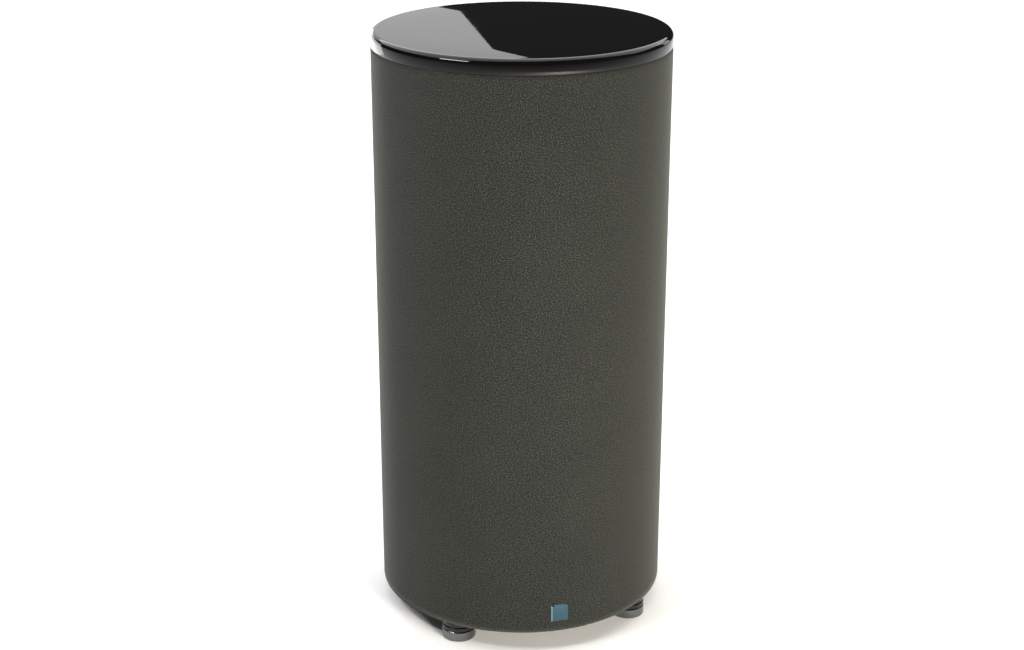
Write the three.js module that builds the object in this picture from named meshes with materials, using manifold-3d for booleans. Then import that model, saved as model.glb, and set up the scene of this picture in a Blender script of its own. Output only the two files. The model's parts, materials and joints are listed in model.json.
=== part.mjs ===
// A round, ported, down-firing powered subwoofer, in millimetres, +Z up.
// The origin is on the floor under the middle of the cabinet.
// The front faces -Y, and the amplifier and port face +Y.
//
// The cabinet is a fibreboard tube in a knitted sleeve, closed by a lacquered cap and a wooden baffle.
// The driver hangs in the baffle and fires at the floor. Four screw-in feet level the cabinet.

import * as THREE from "three";
import { mergeVertices } from "three/addons/utils/BufferGeometryUtils.js";
import Module from "manifold-3d";

const wasm = await Module();
wasm.setup();

// ---- Driving dimensions ------------------------------------------------------------------------

const GAP = 0.3; // between pieces that touch
const HEIGHT = 866; // floor to the top of the cap
const TUBE_R = 209.4; // outside of the fibreboard tube
const TUBE_WALL = 11.4;
const TUBE_BOTTOM = 31; // clearance under the cabinet
const CLOTH = 1.2; // thickness of the sleeve
const PROUD_R = 213; // the furthest that trim stands from the axis
const CAP_THICK = 22;
const BOARD = 22; // fibreboard discs
const BAFFLE_Z = 70; // underside of the driver baffle
const BAFFLE_THICK = 25;
const LOWER_BRACE = 425;
const UPPER_BRACE = 590;
const BRACE_THICK = 18;

const TUBE_IN = TUBE_R - TUBE_WALL; // bore of the tube
const DISC_R = TUBE_IN - GAP; // discs that close or brace the bore
const CLOTH_IN = TUBE_R + GAP;
const CLOTH_R = CLOTH_IN + CLOTH;
const TRIM_IN = CLOTH_R + GAP; // underside of trim that lies on the cloth
const TUBE_TOP = HEIGHT - CAP_THICK - GAP;

const PORT = {
  z: 735, // height of the rear mouth
  y: -60, // axis of the upright pipe
  r: 50, // air way
  wall: 4,
  bend: 75, // centreline radius of the elbow
  mouthR: 70,
  lipR: 84,
  hole: 76, // in the tube's wall
  bottom: 320, // lower end of the inner flare
};

const PORT_JOINT = 140; // where the level pipe meets the flare, along Y

const PANEL = {
  width: 206,
  height: 270,
  thick: 3,
  corner: 6,
  y: 179, // outer face
  z: 262, // centre
};
const BEZEL = { rim: 9, lip: 6, seat: 10, seatDeep: 6 };
const CASE = { width: 184, height: 244, deep: 68, wall: 2 };

const FOOT = {
  circle: 184, // radius that the feet stand on
  r: 24.5,
  baseTop: 15,
  hubTop: 29,
  studR: 4,
  holeR: 4.35,
  studTop: 52,
};
const BASE_RING = { bottom: 34, thick: 20, hole: 157 };

const BIG = 40; // sides of a full-size circle
const MID = 20; // sides of the driver's and the port's circles
const FOOT_SIDES = 16;
const SMALL = 12; // sides of a small turned piece

// ---- Materials ---------------------------------------------------------------------------------

const finish = (color, roughness, metalness = 0) =>
  new THREE.MeshStandardMaterial({ color, roughness, metalness });

const FIBREBOARD = finish("#8a6b4a", 0.9);
const MDF = finish("#a98d67", 0.85);
const CLOTH_GREY = finish("#45463f", 0.95);
const BLACK_LACQUER = finish("#0b0b0c", 0.08);
const BLACK_PLASTIC = finish("#161616", 0.5);
const BLACK_RUBBER = finish("#1b1b1b", 0.85);
const BADGE_BLUE = finish("#5b7784", 0.25, 0.6);
const FELT = finish("#c9c6bb", 1);
const CAST_ALUMINIUM = finish("#2a2a2b", 0.6, 0.7);
const PAPER_CONE = finish("#232325", 0.7);
const POLYIMIDE = finish("#8a5a22", 0.4);
const COPPER = finish("#b06a3a", 0.35, 1);
const COTTON = finish("#b88a4a", 0.95);
const STEEL = finish("#9a9c9f", 0.4, 1);
const FERRITE = finish("#3a3a3c", 0.8);
const ANODISED = finish("#131314", 0.45, 0.8);
const CIRCUIT_GREEN = finish("#1e5a3a", 0.5);
const BARE_ALUMINIUM = finish("#b6b8ba", 0.4, 1);
const SATIN_NICKEL = finish("#a7a49c", 0.3, 1);
const GOLD = finish("#c9a24a", 0.3, 1);
const LED_BLUE = finish("#9fc4ff", 0.2);

// ---- Solids ------------------------------------------------------------------------------------

// A closed geometry as a manifold-3d solid.
function solid(geometry) {
  const bare = geometry.clone();
  bare.deleteAttribute("normal");
  bare.deleteAttribute("uv");
  const merged = mergeVertices(bare, 1e-4);
  return new wasm.Manifold(
    new wasm.Mesh({
      numProp: 3,
      vertProperties: merged.attributes.position.array,
      triVerts: new Uint32Array(merged.index.array),
    }),
  );
}

function geometryOf(made) {
  const mesh = made.getMesh();
  const geometry = new THREE.BufferGeometry();
  geometry.setAttribute(
    "position",
    new THREE.BufferAttribute(mesh.vertProperties, 3),
  );
  geometry.setIndex(new THREE.BufferAttribute(mesh.triVerts, 1));
  geometry.computeVertexNormals();
  return geometry;
}

// The first geometry with the others cut away.
const cut = (geometry, ...tools) =>
  geometryOf(tools.reduce((s, t) => s.subtract(solid(t)), solid(geometry)));

const join = (geometry, ...others) =>
  geometryOf(others.reduce((s, o) => s.add(solid(o)), solid(geometry)));

const common = (a, b) => geometryOf(solid(a).intersect(solid(b)));

// Turns a profile of [radius, height] about Z. A profile that never meets the axis is closed on itself.
function turned(profile, sides) {
  const points = profile.map(([r, z]) => new THREE.Vector2(r, z));
  if (THREE.ShapeUtils.isClockWise(points)) points.reverse();
  if (profile.some(([r]) => r === 0)) {
    while (points[0].x > 0 || points.at(-1).x > 0) points.push(points.shift());
  } else {
    points.push(points[0].clone());
  }
  return new THREE.LatheGeometry(points, sides).rotateX(Math.PI / 2);
}

const disc = (r, z0, z1, sides) =>
  turned([[0, z0], [r, z0], [r, z1], [0, z1]], sides);

const ring = (rIn, rOut, z0, z1, sides) =>
  turned([[rIn, z0], [rOut, z0], [rOut, z1], [rIn, z1]], sides);

const block = (x0, x1, y0, y1, z0, z1) =>
  new THREE.BoxGeometry(x1 - x0, y1 - y0, z1 - z0).translate(
    (x0 + x1) / 2,
    (y0 + y1) / 2,
    (z0 + z1) / 2,
  );

// A block of a width and a height about its middle, in a plane of constant Z.
const slab = (w, h, z0, z1, x = 0, y = 0) =>
  block(x - w / 2, x + w / 2, y - h / 2, y + h / 2, z0, z1);

// The same block with round corners.
function roundedSlab(w, h, corner, z0, z1, x = 0, y = 0, arcSteps = 3) {
  const shape = new THREE.Shape();
  const corners = [[1, -1, -90], [1, 1, 0], [-1, 1, 90], [-1, -1, 180]];
  for (const [sx, sy, from] of corners) {
    const a = THREE.MathUtils.degToRad(from);
    shape.absarc(x + sx * (w / 2 - corner), y + sy * (h / 2 - corner), corner, a, a + Math.PI / 2);
  }
  shape.closePath();
  return extruded(shape, z0, z1, arcSteps);
}

function extruded(shape, z0, z1, curveSegments = 8) {
  const options = { depth: z1 - z0, bevelEnabled: false, curveSegments };
  return new THREE.ExtrudeGeometry(shape, options).translate(0, 0, z0);
}

// A sector of a ring, between two angles in degrees.
function sector(rIn, rOut, from, to, z0, z1, arcSteps = 8) {
  const [a, b] = [from, to].map(THREE.MathUtils.degToRad);
  const shape = new THREE.Shape();
  shape.absarc(0, 0, rOut, a, b, false);
  shape.absarc(0, 0, rIn, b, a, true);
  shape.closePath();
  return extruded(shape, z0, z1, arcSteps);
}

// A cylinder along +Y through x = 0 at a height.
const pin = (r, y0, y1, z, sides) =>
  disc(r, -y1, -y0, sides).rotateX(Math.PI / 2).translate(0, 0, z);

// A tube along a curve, solid or with a bore.
function pipeAlong(curve, r, bore, steps, sides) {
  const section = new THREE.Shape().absarc(0, 0, r, 0, 2 * Math.PI);
  if (bore) section.holes.push(new THREE.Path().absarc(0, 0, bore, 0, 2 * Math.PI));
  return new THREE.ExtrudeGeometry(section, {
    steps,
    extrudePath: curve,
    curveSegments: sides,
  });
}

// A point of a circle at an angle in degrees.
function onCircle(r, degrees) {
  const a = THREE.MathUtils.degToRad(degrees);
  return [r * Math.cos(a), r * Math.sin(a)];
}

// Points of an arc about (cr, cz), in degrees, for a turned profile.
function arc(cr, cz, r, from, to, steps) {
  return Array.from({ length: steps + 1 }, (_, i) => {
    const [dr, dz] = onCircle(r, from + ((to - from) * i) / steps);
    return [cr + dr, cz + dz];
  });
}

// Adds a named mesh to a group and returns it.
function add(group, name, geometry, material, x = 0, y = 0, z = 0) {
  const mesh = new THREE.Mesh(geometry, material);
  mesh.name = name;
  mesh.position.set(x, y, z);
  group.add(mesh);
  return mesh;
}

// ---- Cabinet -----------------------------------------------------------------------------------

// What the amplifier's frame and the port's mouth take out of a round wall.
function rearOpenings(clearance) {
  const halfW = PANEL.width / 2 + 1 + BEZEL.rim + clearance;
  const halfH = PANEL.height / 2 + 1 + BEZEL.rim + clearance;
  return [
    block(-halfW, halfW, 120, 240, PANEL.z - halfH, PANEL.z + halfH),
    pin(PORT.hole + clearance - 0.4, 150, 240, PORT.z, MID),
  ];
}

function cabinetTube() {
  const wall = ring(TUBE_IN, TUBE_R, TUBE_BOTTOM, TUBE_TOP, BIG);
  return cut(wall, ...rearOpenings(0.4));
}

// The sleeve ends flush with the tube: its hems are glued under the cap and the base ring.
function fabricSleeve() {
  const cloth = ring(CLOTH_IN, CLOTH_R, TUBE_BOTTOM, TUBE_TOP, BIG);
  return cut(cloth, ...rearOpenings(0.8));
}

// A lacquered disc with a rounded edge and a spigot that centres it in the tube.
function topCap() {
  const edge = 8; // radius of the top edge
  const spigot = 6;
  const z = HEIGHT - CAP_THICK;
  return turned(
    [
      [0, z - spigot],
      [DISC_R, z - spigot],
      [DISC_R, z],
      [CLOTH_R - 1.5, z],
      [CLOTH_R, z + 1.5],
      ...arc(CLOTH_R - edge, HEIGHT - edge, edge, 0, 90, 3),
      [0, HEIGHT],
    ],
    BIG,
  );
}

// The board that the driver is screwed to, from below.
const driverBaffle = () =>
  ring(141, DISC_R, BAFFLE_Z, BAFFLE_Z + BAFFLE_THICK, BIG);

// A ring at the foot of the tube, drilled for the studs of the feet.
function baseRing() {
  const { bottom, thick, hole } = BASE_RING;
  const holes = [45, 135, 225, 315].map((a) =>
    disc(FOOT.holeR, bottom - 1, bottom + thick + 1, SMALL).translate(
      ...onCircle(FOOT.circle, a),
      0,
    ),
  );
  return cut(ring(hole, DISC_R, bottom, bottom + thick, BIG), ...holes);
}

// A shelf brace: it grips the port pipe and lets the air through three windows.
function brace(z) {
  const [under, over] = [z - 1, z + BRACE_THICK + 1];
  const windows = [[-20, 40], [55, 125], [140, 200]].map(([a, b]) =>
    sector(80, 168, a, b, under, over, 4),
  );
  const pipeHole = disc(PORT.r + PORT.wall + GAP, under, over, MID);
  return cut(
    disc(DISC_R, z, z + BRACE_THICK, BIG),
    ...windows,
    pipeHole.translate(0, PORT.y, 0),
  );
}

// Felt round the lower chamber, open at the rear for the amplifier.
const wallLining = () =>
  sector(174, DISC_R - 2, 145, 395, BAFFLE_Z + BAFFLE_THICK + GAP, LOWER_BRACE - GAP, 14);

// ---- Port --------------------------------------------------------------------------------------

// The rear mouth: a bell that opens to a straight rim, with a lip that lies on the round cabinet.
function portFlare() {
  const { r, wall, mouthR, lipR, z, hole } = PORT;
  const start = PORT_JOINT;
  const bellFrom = 22;
  const bellTo = 58;
  const outside = PROUD_R + 4 - start;
  const bell = arc(mouthR, 0, mouthR - r, 180, 90, 5).map(([br, t]) => [
    br,
    bellFrom + ((bellTo - bellFrom) * t) / (mouthR - r),
  ]);
  const turnedBody = turned(
    [
      [r, 0],
      ...bell,
      [mouthR, outside],
      [lipR, outside],
      [lipR, bellTo - 10],
      [r + wall, 20],
      [r + wall, 0],
    ],
    MID,
  );
  const body = turnedBody.rotateX(-Math.PI / 2).translate(0, start, z);
  const inHole = common(body, pin(hole - 2 * GAP, 100, 260, z, MID));
  const onCloth = common(body, ring(TRIM_IN, 260, z - 90, z + 90, BIG));
  return common(join(inHole, onCloth), disc(PROUD_R, z - 90, z + 90, BIG));
}

// A quarter turn from level (+Y end) to upright, about a corner above the upright pipe.
class QuarterBend extends THREE.Curve {
  constructor(radius) {
    super();
    this.radius = radius;
  }
  getPoint(t, target = new THREE.Vector3()) {
    const a = (t * Math.PI) / 2;
    const { radius: r } = this;
    return target.set(0, r * (1 - Math.sin(a)), r * (Math.cos(a) - 1));
  }
}

// The elbow has a socket at each end that takes a pipe.
function portElbow() {
  const { r, wall, bend, z, y } = PORT;
  const socket = 16;
  const outer = r + 2 * wall;
  const bendTube = pipeAlong(new QuarterBend(bend), outer, r, 4, MID / 2);
  const level = ring(r, outer, 0, socket, MID)
    .rotateX(-Math.PI / 2)
    .translate(0, bend - 0.01, 0);
  const upright = ring(r, outer, -socket, 0, MID).translate(0, 0, -bend + 0.01);
  const seat = r + wall + GAP;
  const levelSeat = disc(seat, 0, socket + 1, MID)
    .rotateX(-Math.PI / 2)
    .translate(0, bend, 0);
  const uprightSeat = disc(seat, -socket - 1, 0, MID).translate(0, 0, -bend);
  return cut(join(bendTube, level, upright), levelSeat, uprightSeat).translate(0, y, z);
}

const portLevelPipe = () => {
  const from = PORT.y + PORT.bend + GAP;
  return ring(PORT.r, PORT.r + PORT.wall, from, PORT_JOINT - GAP, MID)
    .rotateX(-Math.PI / 2)
    .translate(0, 0, PORT.z);
};

const portUprightPipe = () =>
  ring(
    PORT.r,
    PORT.r + PORT.wall,
    PORT.bottom + 40,
    PORT.z - PORT.bend - GAP,
    MID,
  ).translate(0, PORT.y, 0);

// The bell on the inner end of the pipe.
function portInnerFlare() {
  const { r, wall, bottom, y } = PORT;
  const flare = 20;
  const top = bottom + 40 - GAP;
  return turned(
    [
      ...arc(r + flare, bottom + flare, flare, 180, 270, 4),
      [r + flare + 3, bottom],
      [r + flare + 3, bottom + 3],
      [r + wall + 4, bottom + 22],
      [r + wall + 4, top + 12],
      [r + wall + GAP, top + 12],
      [r + wall + GAP, top],
      [r, top],
    ],
    MID,
  ).translate(0, y, 0);
}

// ---- Driver, in its own frame: z = 0 is the baffle's underside, and +Z runs back to the magnet --

const DRIVER = {
  flangeR: 154,
  flange: 8,
  coneR: 112,
  neckR: 34,
  rollIn: 112,
  rollOut: 136,
  ledgeZ: 64, // top of the ledge that holds the spider
  gapZ: 88, // front of the top plate
  backZ: 132, // front of the back plate
};

// A cast basket: flange, six arms and the seat for the spider and the motor.
function driverFrame() {
  const { flangeR, flange, gapZ, ledgeZ } = DRIVER;
  const shell = turned(
    [
      [128, -flange],
      [flangeR, -flange],
      [flangeR, -GAP],
      [139, -GAP],
      [137, 14],
      [90, 74],
      [90, gapZ - GAP],
      [62, gapZ - GAP],
      [62, gapZ - 7],
      [84, gapZ - 9],
      [84, ledgeZ],
      [74, ledgeZ],
      [74, ledgeZ - 3],
      [84, ledgeZ - 4],
      [128, 4],
    ],
    MID,
  );
  const windows = [30, 90, 150, 210, 270, 330].map((a) =>
    sector(86, 150, a - 20, a + 20, 18, 57, 3),
  );
  return cut(shell, ...windows);
}

// The half-roll edge, glued between the cone's rim and the flange.
function surround() {
  const { rollIn, rollOut, flange } = DRIVER;
  const mid = (rollIn + rollOut) / 2;
  const r = (rollOut - rollIn) / 2;
  const z = -flange - GAP;
  const thick = 1.2;
  return turned(
    [
      [rollIn - 7, z],
      [rollIn - 7, z - thick],
      ...arc(mid, z - thick, r, 180, 360, 6),
      [rollOut + 6, z - thick],
      [rollOut + 6, z],
      ...arc(mid, z - thick, r - thick, 360, 180, 6),
    ],
    MID,
  );
}

// The cone runs from the surround back to the coil former.
function cone() {
  const { coneR, neckR, flange } = DRIVER;
  const front = -flange + GAP;
  const thick = 2;
  return turned(
    [
      [neckR, 46],
      [neckR, 50],
      [neckR + 2.5, 50],
      [coneR - 6, front + thick + 1],
      [coneR, front + thick],
      [coneR, front],
      [coneR - 8, front],
    ],
    MID,
  );
}

// A dome glued to the front of the cone, bulging outwards.
function dustCap() {
  const rim = 47;
  const rimZ = 35.6;
  const domeR = 62;
  const thick = 1.5;
  const centre = rimZ + Math.sqrt(domeR ** 2 - rim ** 2);
  const half = THREE.MathUtils.radToDeg(Math.asin(rim / domeR));
  const outside = arc(0, centre, domeR, 270, 270 + half, 4);
  const inside = arc(0, centre, domeR - thick, 270 + half, 270, 4);
  outside[0][0] = 0;
  inside.at(-1)[0] = 0;
  return turned([...outside, ...inside], MID);
}

const coilFormer = () => ring(32.4, 33.6, 42, 112, MID);

const voiceCoil = () => ring(33.9, 35.4, 74, 110, MID);

// Corrugated cloth that centres the former and springs the cone back.
function spider() {
  const rIn = 33.9;
  const rOut = 75; // where the cloth meets the basket's ledge
  const lip = 8;
  const waves = 2.5;
  const steps = 10;
  const lift = 2.4;
  const thick = 1;
  const wave = Array.from({ length: steps + 1 }, (_, i) => [
    rIn + ((rOut - rIn) * i) / steps,
    DRIVER.ledgeZ + GAP + lift * Math.sin((2 * Math.PI * waves * i) / steps),
  ]);
  const upper = [...wave, [rOut + lip, DRIVER.ledgeZ + GAP]].map(([r, z]) => [r, z + thick]);
  const lower = [...wave, [rOut + lip, DRIVER.ledgeZ + GAP]].reverse();
  return turned([...upper, ...lower], MID);
}

const topPlate = () => ring(36.6, 76, DRIVER.gapZ, DRIVER.gapZ + 8, MID);

const magnetRing = () =>
  ring(44, 84, DRIVER.gapZ + 8 + GAP, DRIVER.backZ - GAP, MID);

// The back plate and pole piece in one, vented through the middle.
function poleYoke() {
  const { gapZ, backZ } = DRIVER;
  return turned(
    [
      [10, gapZ],
      [31.2, gapZ],
      [31.2, backZ],
      [78, backZ],
      [78, backZ + 10],
      [10, backZ + 10],
    ],
    MID,
  );
}

function magnetBoot() {
  const { gapZ, backZ } = DRIVER;
  const top = backZ + 10 + GAP;
  return turned(
    [
      [84 + GAP, gapZ + 10],
      [88, gapZ + 10],
      [88, top],
      [84, top + 3],
      [30, top + 3],
      [30, top],
      [84 + GAP, top],
    ],
    MID,
  );
}

const TERMINAL_X = -99; // where the speaker lead plugs in

const driverTerminal = () =>
  cut(
    block(-106, -90 - GAP, -11, 11, 75, 87),
    disc(3.2, 79, 88, 8).translate(TERMINAL_X, 0, 0),
  );

// ---- Amplifier, drawn as its panel is seen: X right, Y up, Z towards the viewer ------------------

const BOARD_Z = -34; // underside of the circuit board
const CONTROL_Y = 86; // the row of knobs
const CONTROL_PITCH = 62;
const INLET = { x: 48, y: -88 };
const SWITCH = { x: -46, y: -84 };
const JACKS = { y: 14, input: 30, output: 66 };
const SLIDER = { x: -62, y: 26 };
const TRIGGER = { x: -20, y: 26 };
const LED = { x: -80, y: 118 };

function amplifierPanel() {
  const { width, height, corner, thick } = PANEL;
  const hole = (r, x, y) => disc(r, -thick - 1, 1, SMALL).translate(x, y, 0);
  const slot = (w, h, x, y) => slab(w, h, -thick - 1, 1, x, y);
  return cut(
    roundedSlab(width, height, corner, -thick, 0),
    hole(4, -CONTROL_PITCH, CONTROL_Y),
    hole(4, 0, CONTROL_Y),
    hole(4, CONTROL_PITCH, CONTROL_Y),
    hole(2.4, LED.x, LED.y),
    hole(4.3, TRIGGER.x, TRIGGER.y),
    slot(5, 11, SLIDER.x, SLIDER.y),
    slot(12, 32, JACKS.input, JACKS.y),
    slot(12, 32, JACKS.output, JACKS.y),
    slot(27, 43, INLET.x, INLET.y),
    slot(21, 29, SWITCH.x, SWITCH.y),
  );
}

// A foam gasket between the panel and the frame's seat.
function panelGasket() {
  const { width, height, corner, thick } = PANEL;
  const z1 = -thick - GAP;
  const z0 = z1 - 1.5;
  const hole = slab(width - 16, height - 16, z0 - 1, z1 + 1);
  return cut(roundedSlab(width - 1, height - 1, corner, z0, z1), hole);
}

// A pressed can behind the panel that keeps the amplifier airtight.
function amplifierCase() {
  const { width, height, deep, wall } = CASE;
  const z1 = -PANEL.thick - GAP;
  const inside = slab(width - 2 * wall, height - 2 * wall, z1 - deep + wall, z1 + 1);
  return cut(slab(width, height, z1 - deep, z1), inside);
}

// The board stands on four posts.
function circuitBoard() {
  const y = 46;
  const posts = [[-1, -1], [1, -1], [1, 1], [-1, 1]].map(([sx, sy]) =>
    slab(6, 6, BOARD_Z + 1, -PANEL.thick - GAP, 76 * sx, y + 44 * sy),
  );
  return join(slab(160, 96, BOARD_Z, BOARD_Z + 1.6, 0, y), ...posts);
}

function heatSink() {
  const [x, y] = [40, 58];
  const top = BOARD_Z - GAP;
  const fins = [-26, -13, 0, 13, 26].map((dx) => slab(2.4, 56, -62, top - 3, x + dx, y));
  return join(slab(56, 56, top - 4, top, x, y), ...fins);
}

// The mains transformer stands on the floor of the can.
function transformer() {
  const floor = -PANEL.thick - GAP - CASE.deep + CASE.wall;
  return ring(12, 34, floor + GAP, floor + 32, MID).translate(0, -60, 0);
}

const capacitor = () => disc(15, -66, BOARD_Z - GAP, SMALL).translate(-36, 60, 0);

function mainsInlet() {
  const cavity = roundedSlab(24, 16, 3, -17, 4, 0, 8.5, 1);
  const pocket = slab(20.6, 10.6, -21, 4, 0, -10.5);
  const shell = cut(
    join(roundedSlab(32, 48, 4, GAP, 3), slab(26, 42, -24, 1)),
    cavity,
    pocket,
  );
  const pins = [[-7, 6.5], [0, 10.5], [7, 6.5]].map(([x, y]) =>
    slab(2, 4, -17.5, -3, x, y),
  );
  return join(shell, ...pins);
}

const fuseDrawer = () =>
  join(slab(19.6, 9.6, -19.5, 4, 0, -10.5), slab(23, 12, 3 + GAP, 5, 0, -10.5));

const ROCKER = { deep: -5, tilt: 6 };

const switchHousing = () =>
  cut(
    join(roundedSlab(25, 34, 3, GAP, 2), slab(20, 28, -18, 1)),
    slab(16.6, 25.4, -13, 4),
  );

// The rocker turns about X at ROCKER.deep, and rests tilted one way.
function powerRocker() {
  const profile = new THREE.Shape([
    new THREE.Vector2(-11.2, 1),
    new THREE.Vector2(0, 1),
    new THREE.Vector2(11.2, 1),
    new THREE.Vector2(11.2, 8.6),
    new THREE.Vector2(0, 6.4),
    new THREE.Vector2(-11.2, 8.6),
  ]);
  const side = extruded(profile, -7.9, 7.9);
  // the profile's x runs along Y and its y along Z
  const body = side.rotateY(Math.PI / 2).rotateX(Math.PI / 2);
  const hub = disc(3, -7.9, 7.9, SMALL).rotateY(Math.PI / 2);
  return join(body, hub).rotateX(THREE.MathUtils.degToRad(ROCKER.tilt));
}

// A knob on its shaft, with a raised pointer. It rests with the pointer up.
function knob() {
  const body = turned(
    [
      [0, -12],
      [3, -12],
      [3, 1],
      [9.8, 1],
      [9.2, 12.8],
      [8.2, 13.8],
      [0, 13.8],
    ],
    MID / 2,
  );
  return join(body, slab(1.6, 7.4, 13, 14.6, 0, 4));
}

// The nub of a slide switch on its carrier plate behind the panel.
const switchNub = () =>
  join(slab(4, 4.6, -4, 2.2), slab(8, 9, -6, -3.5));

// Two phono sockets, one above the other, in a moulded block.
function jackBlock() {
  const socket = (y) => disc(4.1, 1, 10, SMALL).translate(0, y, 0);
  const collar = (y) => disc(6, 1, 2.6, SMALL).translate(0, y, 0);
  const bore = (y) => disc(1.7, 3, 11, 8).translate(0, y, 0);
  const body = join(
    slab(16, 37, GAP, 1.5),
    slab(11, 31, -14, 1),
    collar(-8.5),
    collar(8.5),
    socket(-8.5),
    socket(8.5),
  );
  return cut(body, bore(-8.5), bore(8.5));
}

const triggerJack = () =>
  cut(
    join(disc(3.8, -12, 1, SMALL), ring(1.9, 5.4, GAP, 2.4, 6)),
    disc(1.85, -10, 4, 8),
  );

const statusLed = () =>
  turned([[0, -6], [2, -6], [2, 0.4], [1.4, 1.6], [0, 2]], 12);

// The frame that turns the round wall into a flat, recessed seat for the panel.
function amplifierFrame() {
  const { rim, lip, seat, seatDeep } = BEZEL;
  const { y, z, thick } = PANEL;
  const pocketW = PANEL.width / 2 + 1;
  const pocketH = PANEL.height / 2 + 1;
  const seatY = y - thick - 2 * GAP - 1.5;
  const box = (w, h, y0, y1) => block(-w, w, y0, y1, z - h, z + h);
  const body = box(pocketW + rim, pocketH + rim, seatY - seatDeep, 240);
  const lipBlock = box(pocketW + rim + lip, pocketH + rim + lip, 150, 240);
  const skin = ring(TRIM_IN, 260, z - 200, z + 200, BIG);
  const round = disc(PROUD_R, z - 200, z + 200, BIG);
  return cut(
    common(join(body, common(lipBlock, skin)), round),
    box(pocketW, pocketH, seatY, 240),
    box(pocketW - seat, pocketH - seat, 100, 240),
  );
}

// The speaker lead, clipped between the amplifier's can and the driver's terminal.
function speakerLead() {
  const route = new THREE.CatmullRomCurve3(
    [
      [-60, 107.4, 170],
      [-60, 99, 170],
      [-70, 84, 172],
      [-88, 52, 176],
      [-97, 22, 177],
      [TERMINAL_X, 5, 171],
      [TERMINAL_X, 0, 162],
      [TERMINAL_X, 0, 149.4],
    ].map((p) => new THREE.Vector3(...p)),
  );
  return pipeAlong(route, 2.6, 0, 14, 4);
}

// ---- Feet --------------------------------------------------------------------------------------

// A metal shell that stays still on the floor while its hub is turned.
const footBase = () =>
  turned(
    [
      [0, 3.8],
      [21.5, 3.8],
      [21.5, 1.6],
      [FOOT.r, 1.6],
      [FOOT.r, FOOT.baseTop - 1],
      [FOOT.r - 1, FOOT.baseTop],
      [8, FOOT.baseTop],
      [8, FOOT.baseTop - 6],
      [0, FOOT.baseTop - 6],
    ],
    FOOT_SIDES,
  );

const footPad = () => disc(21, 0, 3.5, FOOT_SIDES);

// The hub that the fingers turn, its stud, and the end that bears in the base.
function footHub() {
  const { baseTop, hubTop, studR, studTop } = FOOT;
  const groove = (baseTop + hubTop) / 2;
  const r = FOOT.r - 0.4;
  return turned(
    [
      [0, baseTop - 5.7],
      [7, baseTop - 5.7],
      [7, baseTop + GAP],
      [r, baseTop + GAP],
      [r, groove - 1],
      [r - 1.4, groove],
      [r, groove + 1],
      [r, hubTop],
      [studR, hubTop],
      [studR, studTop],
      [0, studTop],
    ],
    FOOT_SIDES,
  );
}

// ---- Assembly ----------------------------------------------------------------------------------

const subwoofer = new THREE.Group();

function buildCabinet() {
  const cabinet = new THREE.Group();
  add(cabinet, "cabinet_tube", cabinetTube(), FIBREBOARD);
  add(cabinet, "fabric_sleeve", fabricSleeve(), CLOTH_GREY);
  add(cabinet, "top_cap", topCap(), BLACK_LACQUER);
  add(cabinet, "top_board", disc(DISC_R, HEIGHT - 52, HEIGHT - 52 + BOARD, BIG), MDF);
  add(cabinet, "upper_brace", brace(UPPER_BRACE), MDF);
  add(cabinet, "lower_brace", brace(LOWER_BRACE), MDF);
  add(cabinet, "driver_baffle", driverBaffle(), MDF);
  add(cabinet, "base_ring", baseRing(), MDF);
  add(cabinet, "wall_lining", wallLining(), FELT);
  return cabinet;
}

// A chamfered square plate on the front of the sleeve.
function badge() {
  const size = 26;
  const chamfer = 1.2;
  const z = 60;
  const flat = size - 2 * chamfer;
  const face = new THREE.Shape([
    new THREE.Vector2(-flat / 2, -flat / 2),
    new THREE.Vector2(flat / 2, -flat / 2),
    new THREE.Vector2(flat / 2, flat / 2),
    new THREE.Vector2(-flat / 2, flat / 2),
  ]);
  const plate = new THREE.ExtrudeGeometry(face, {
    depth: 8,
    bevelThickness: chamfer,
    bevelSize: chamfer,
    bevelSegments: 1,
  });
  plate.rotateX(Math.PI / 2).translate(0, -PROUD_R + 8 + chamfer, z);
  return cut(plate, disc(TRIM_IN, 0, 120, BIG));
}

function buildPort() {
  const port = new THREE.Group();
  add(port, "port_flare", portFlare(), BLACK_PLASTIC);
  add(port, "port_level_pipe", portLevelPipe(), BLACK_PLASTIC);
  add(port, "port_elbow", portElbow(), BLACK_PLASTIC);
  add(port, "port_upright_pipe", portUprightPipe(), BLACK_PLASTIC);
  add(port, "port_inner_flare", portInnerFlare(), BLACK_PLASTIC);
  return port;
}

function buildDriver() {
  const driver = new THREE.Group();
  driver.position.z = BAFFLE_Z;
  add(driver, "driver_frame", driverFrame(), CAST_ALUMINIUM);
  add(driver, "surround", surround(), BLACK_RUBBER);
  add(driver, "cone", cone(), PAPER_CONE);
  add(driver, "dust_cap", dustCap(), PAPER_CONE);
  add(driver, "coil_former", coilFormer(), POLYIMIDE);
  add(driver, "voice_coil", voiceCoil(), COPPER);
  add(driver, "spider", spider(), COTTON);
  add(driver, "top_plate", topPlate(), STEEL);
  add(driver, "magnet_ring", magnetRing(), FERRITE);
  add(driver, "pole_yoke", poleYoke(), STEEL);
  add(driver, "magnet_boot", magnetBoot(), BLACK_RUBBER);
  add(driver, "driver_terminal", driverTerminal(), BLACK_PLASTIC);
  return driver;
}

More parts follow.
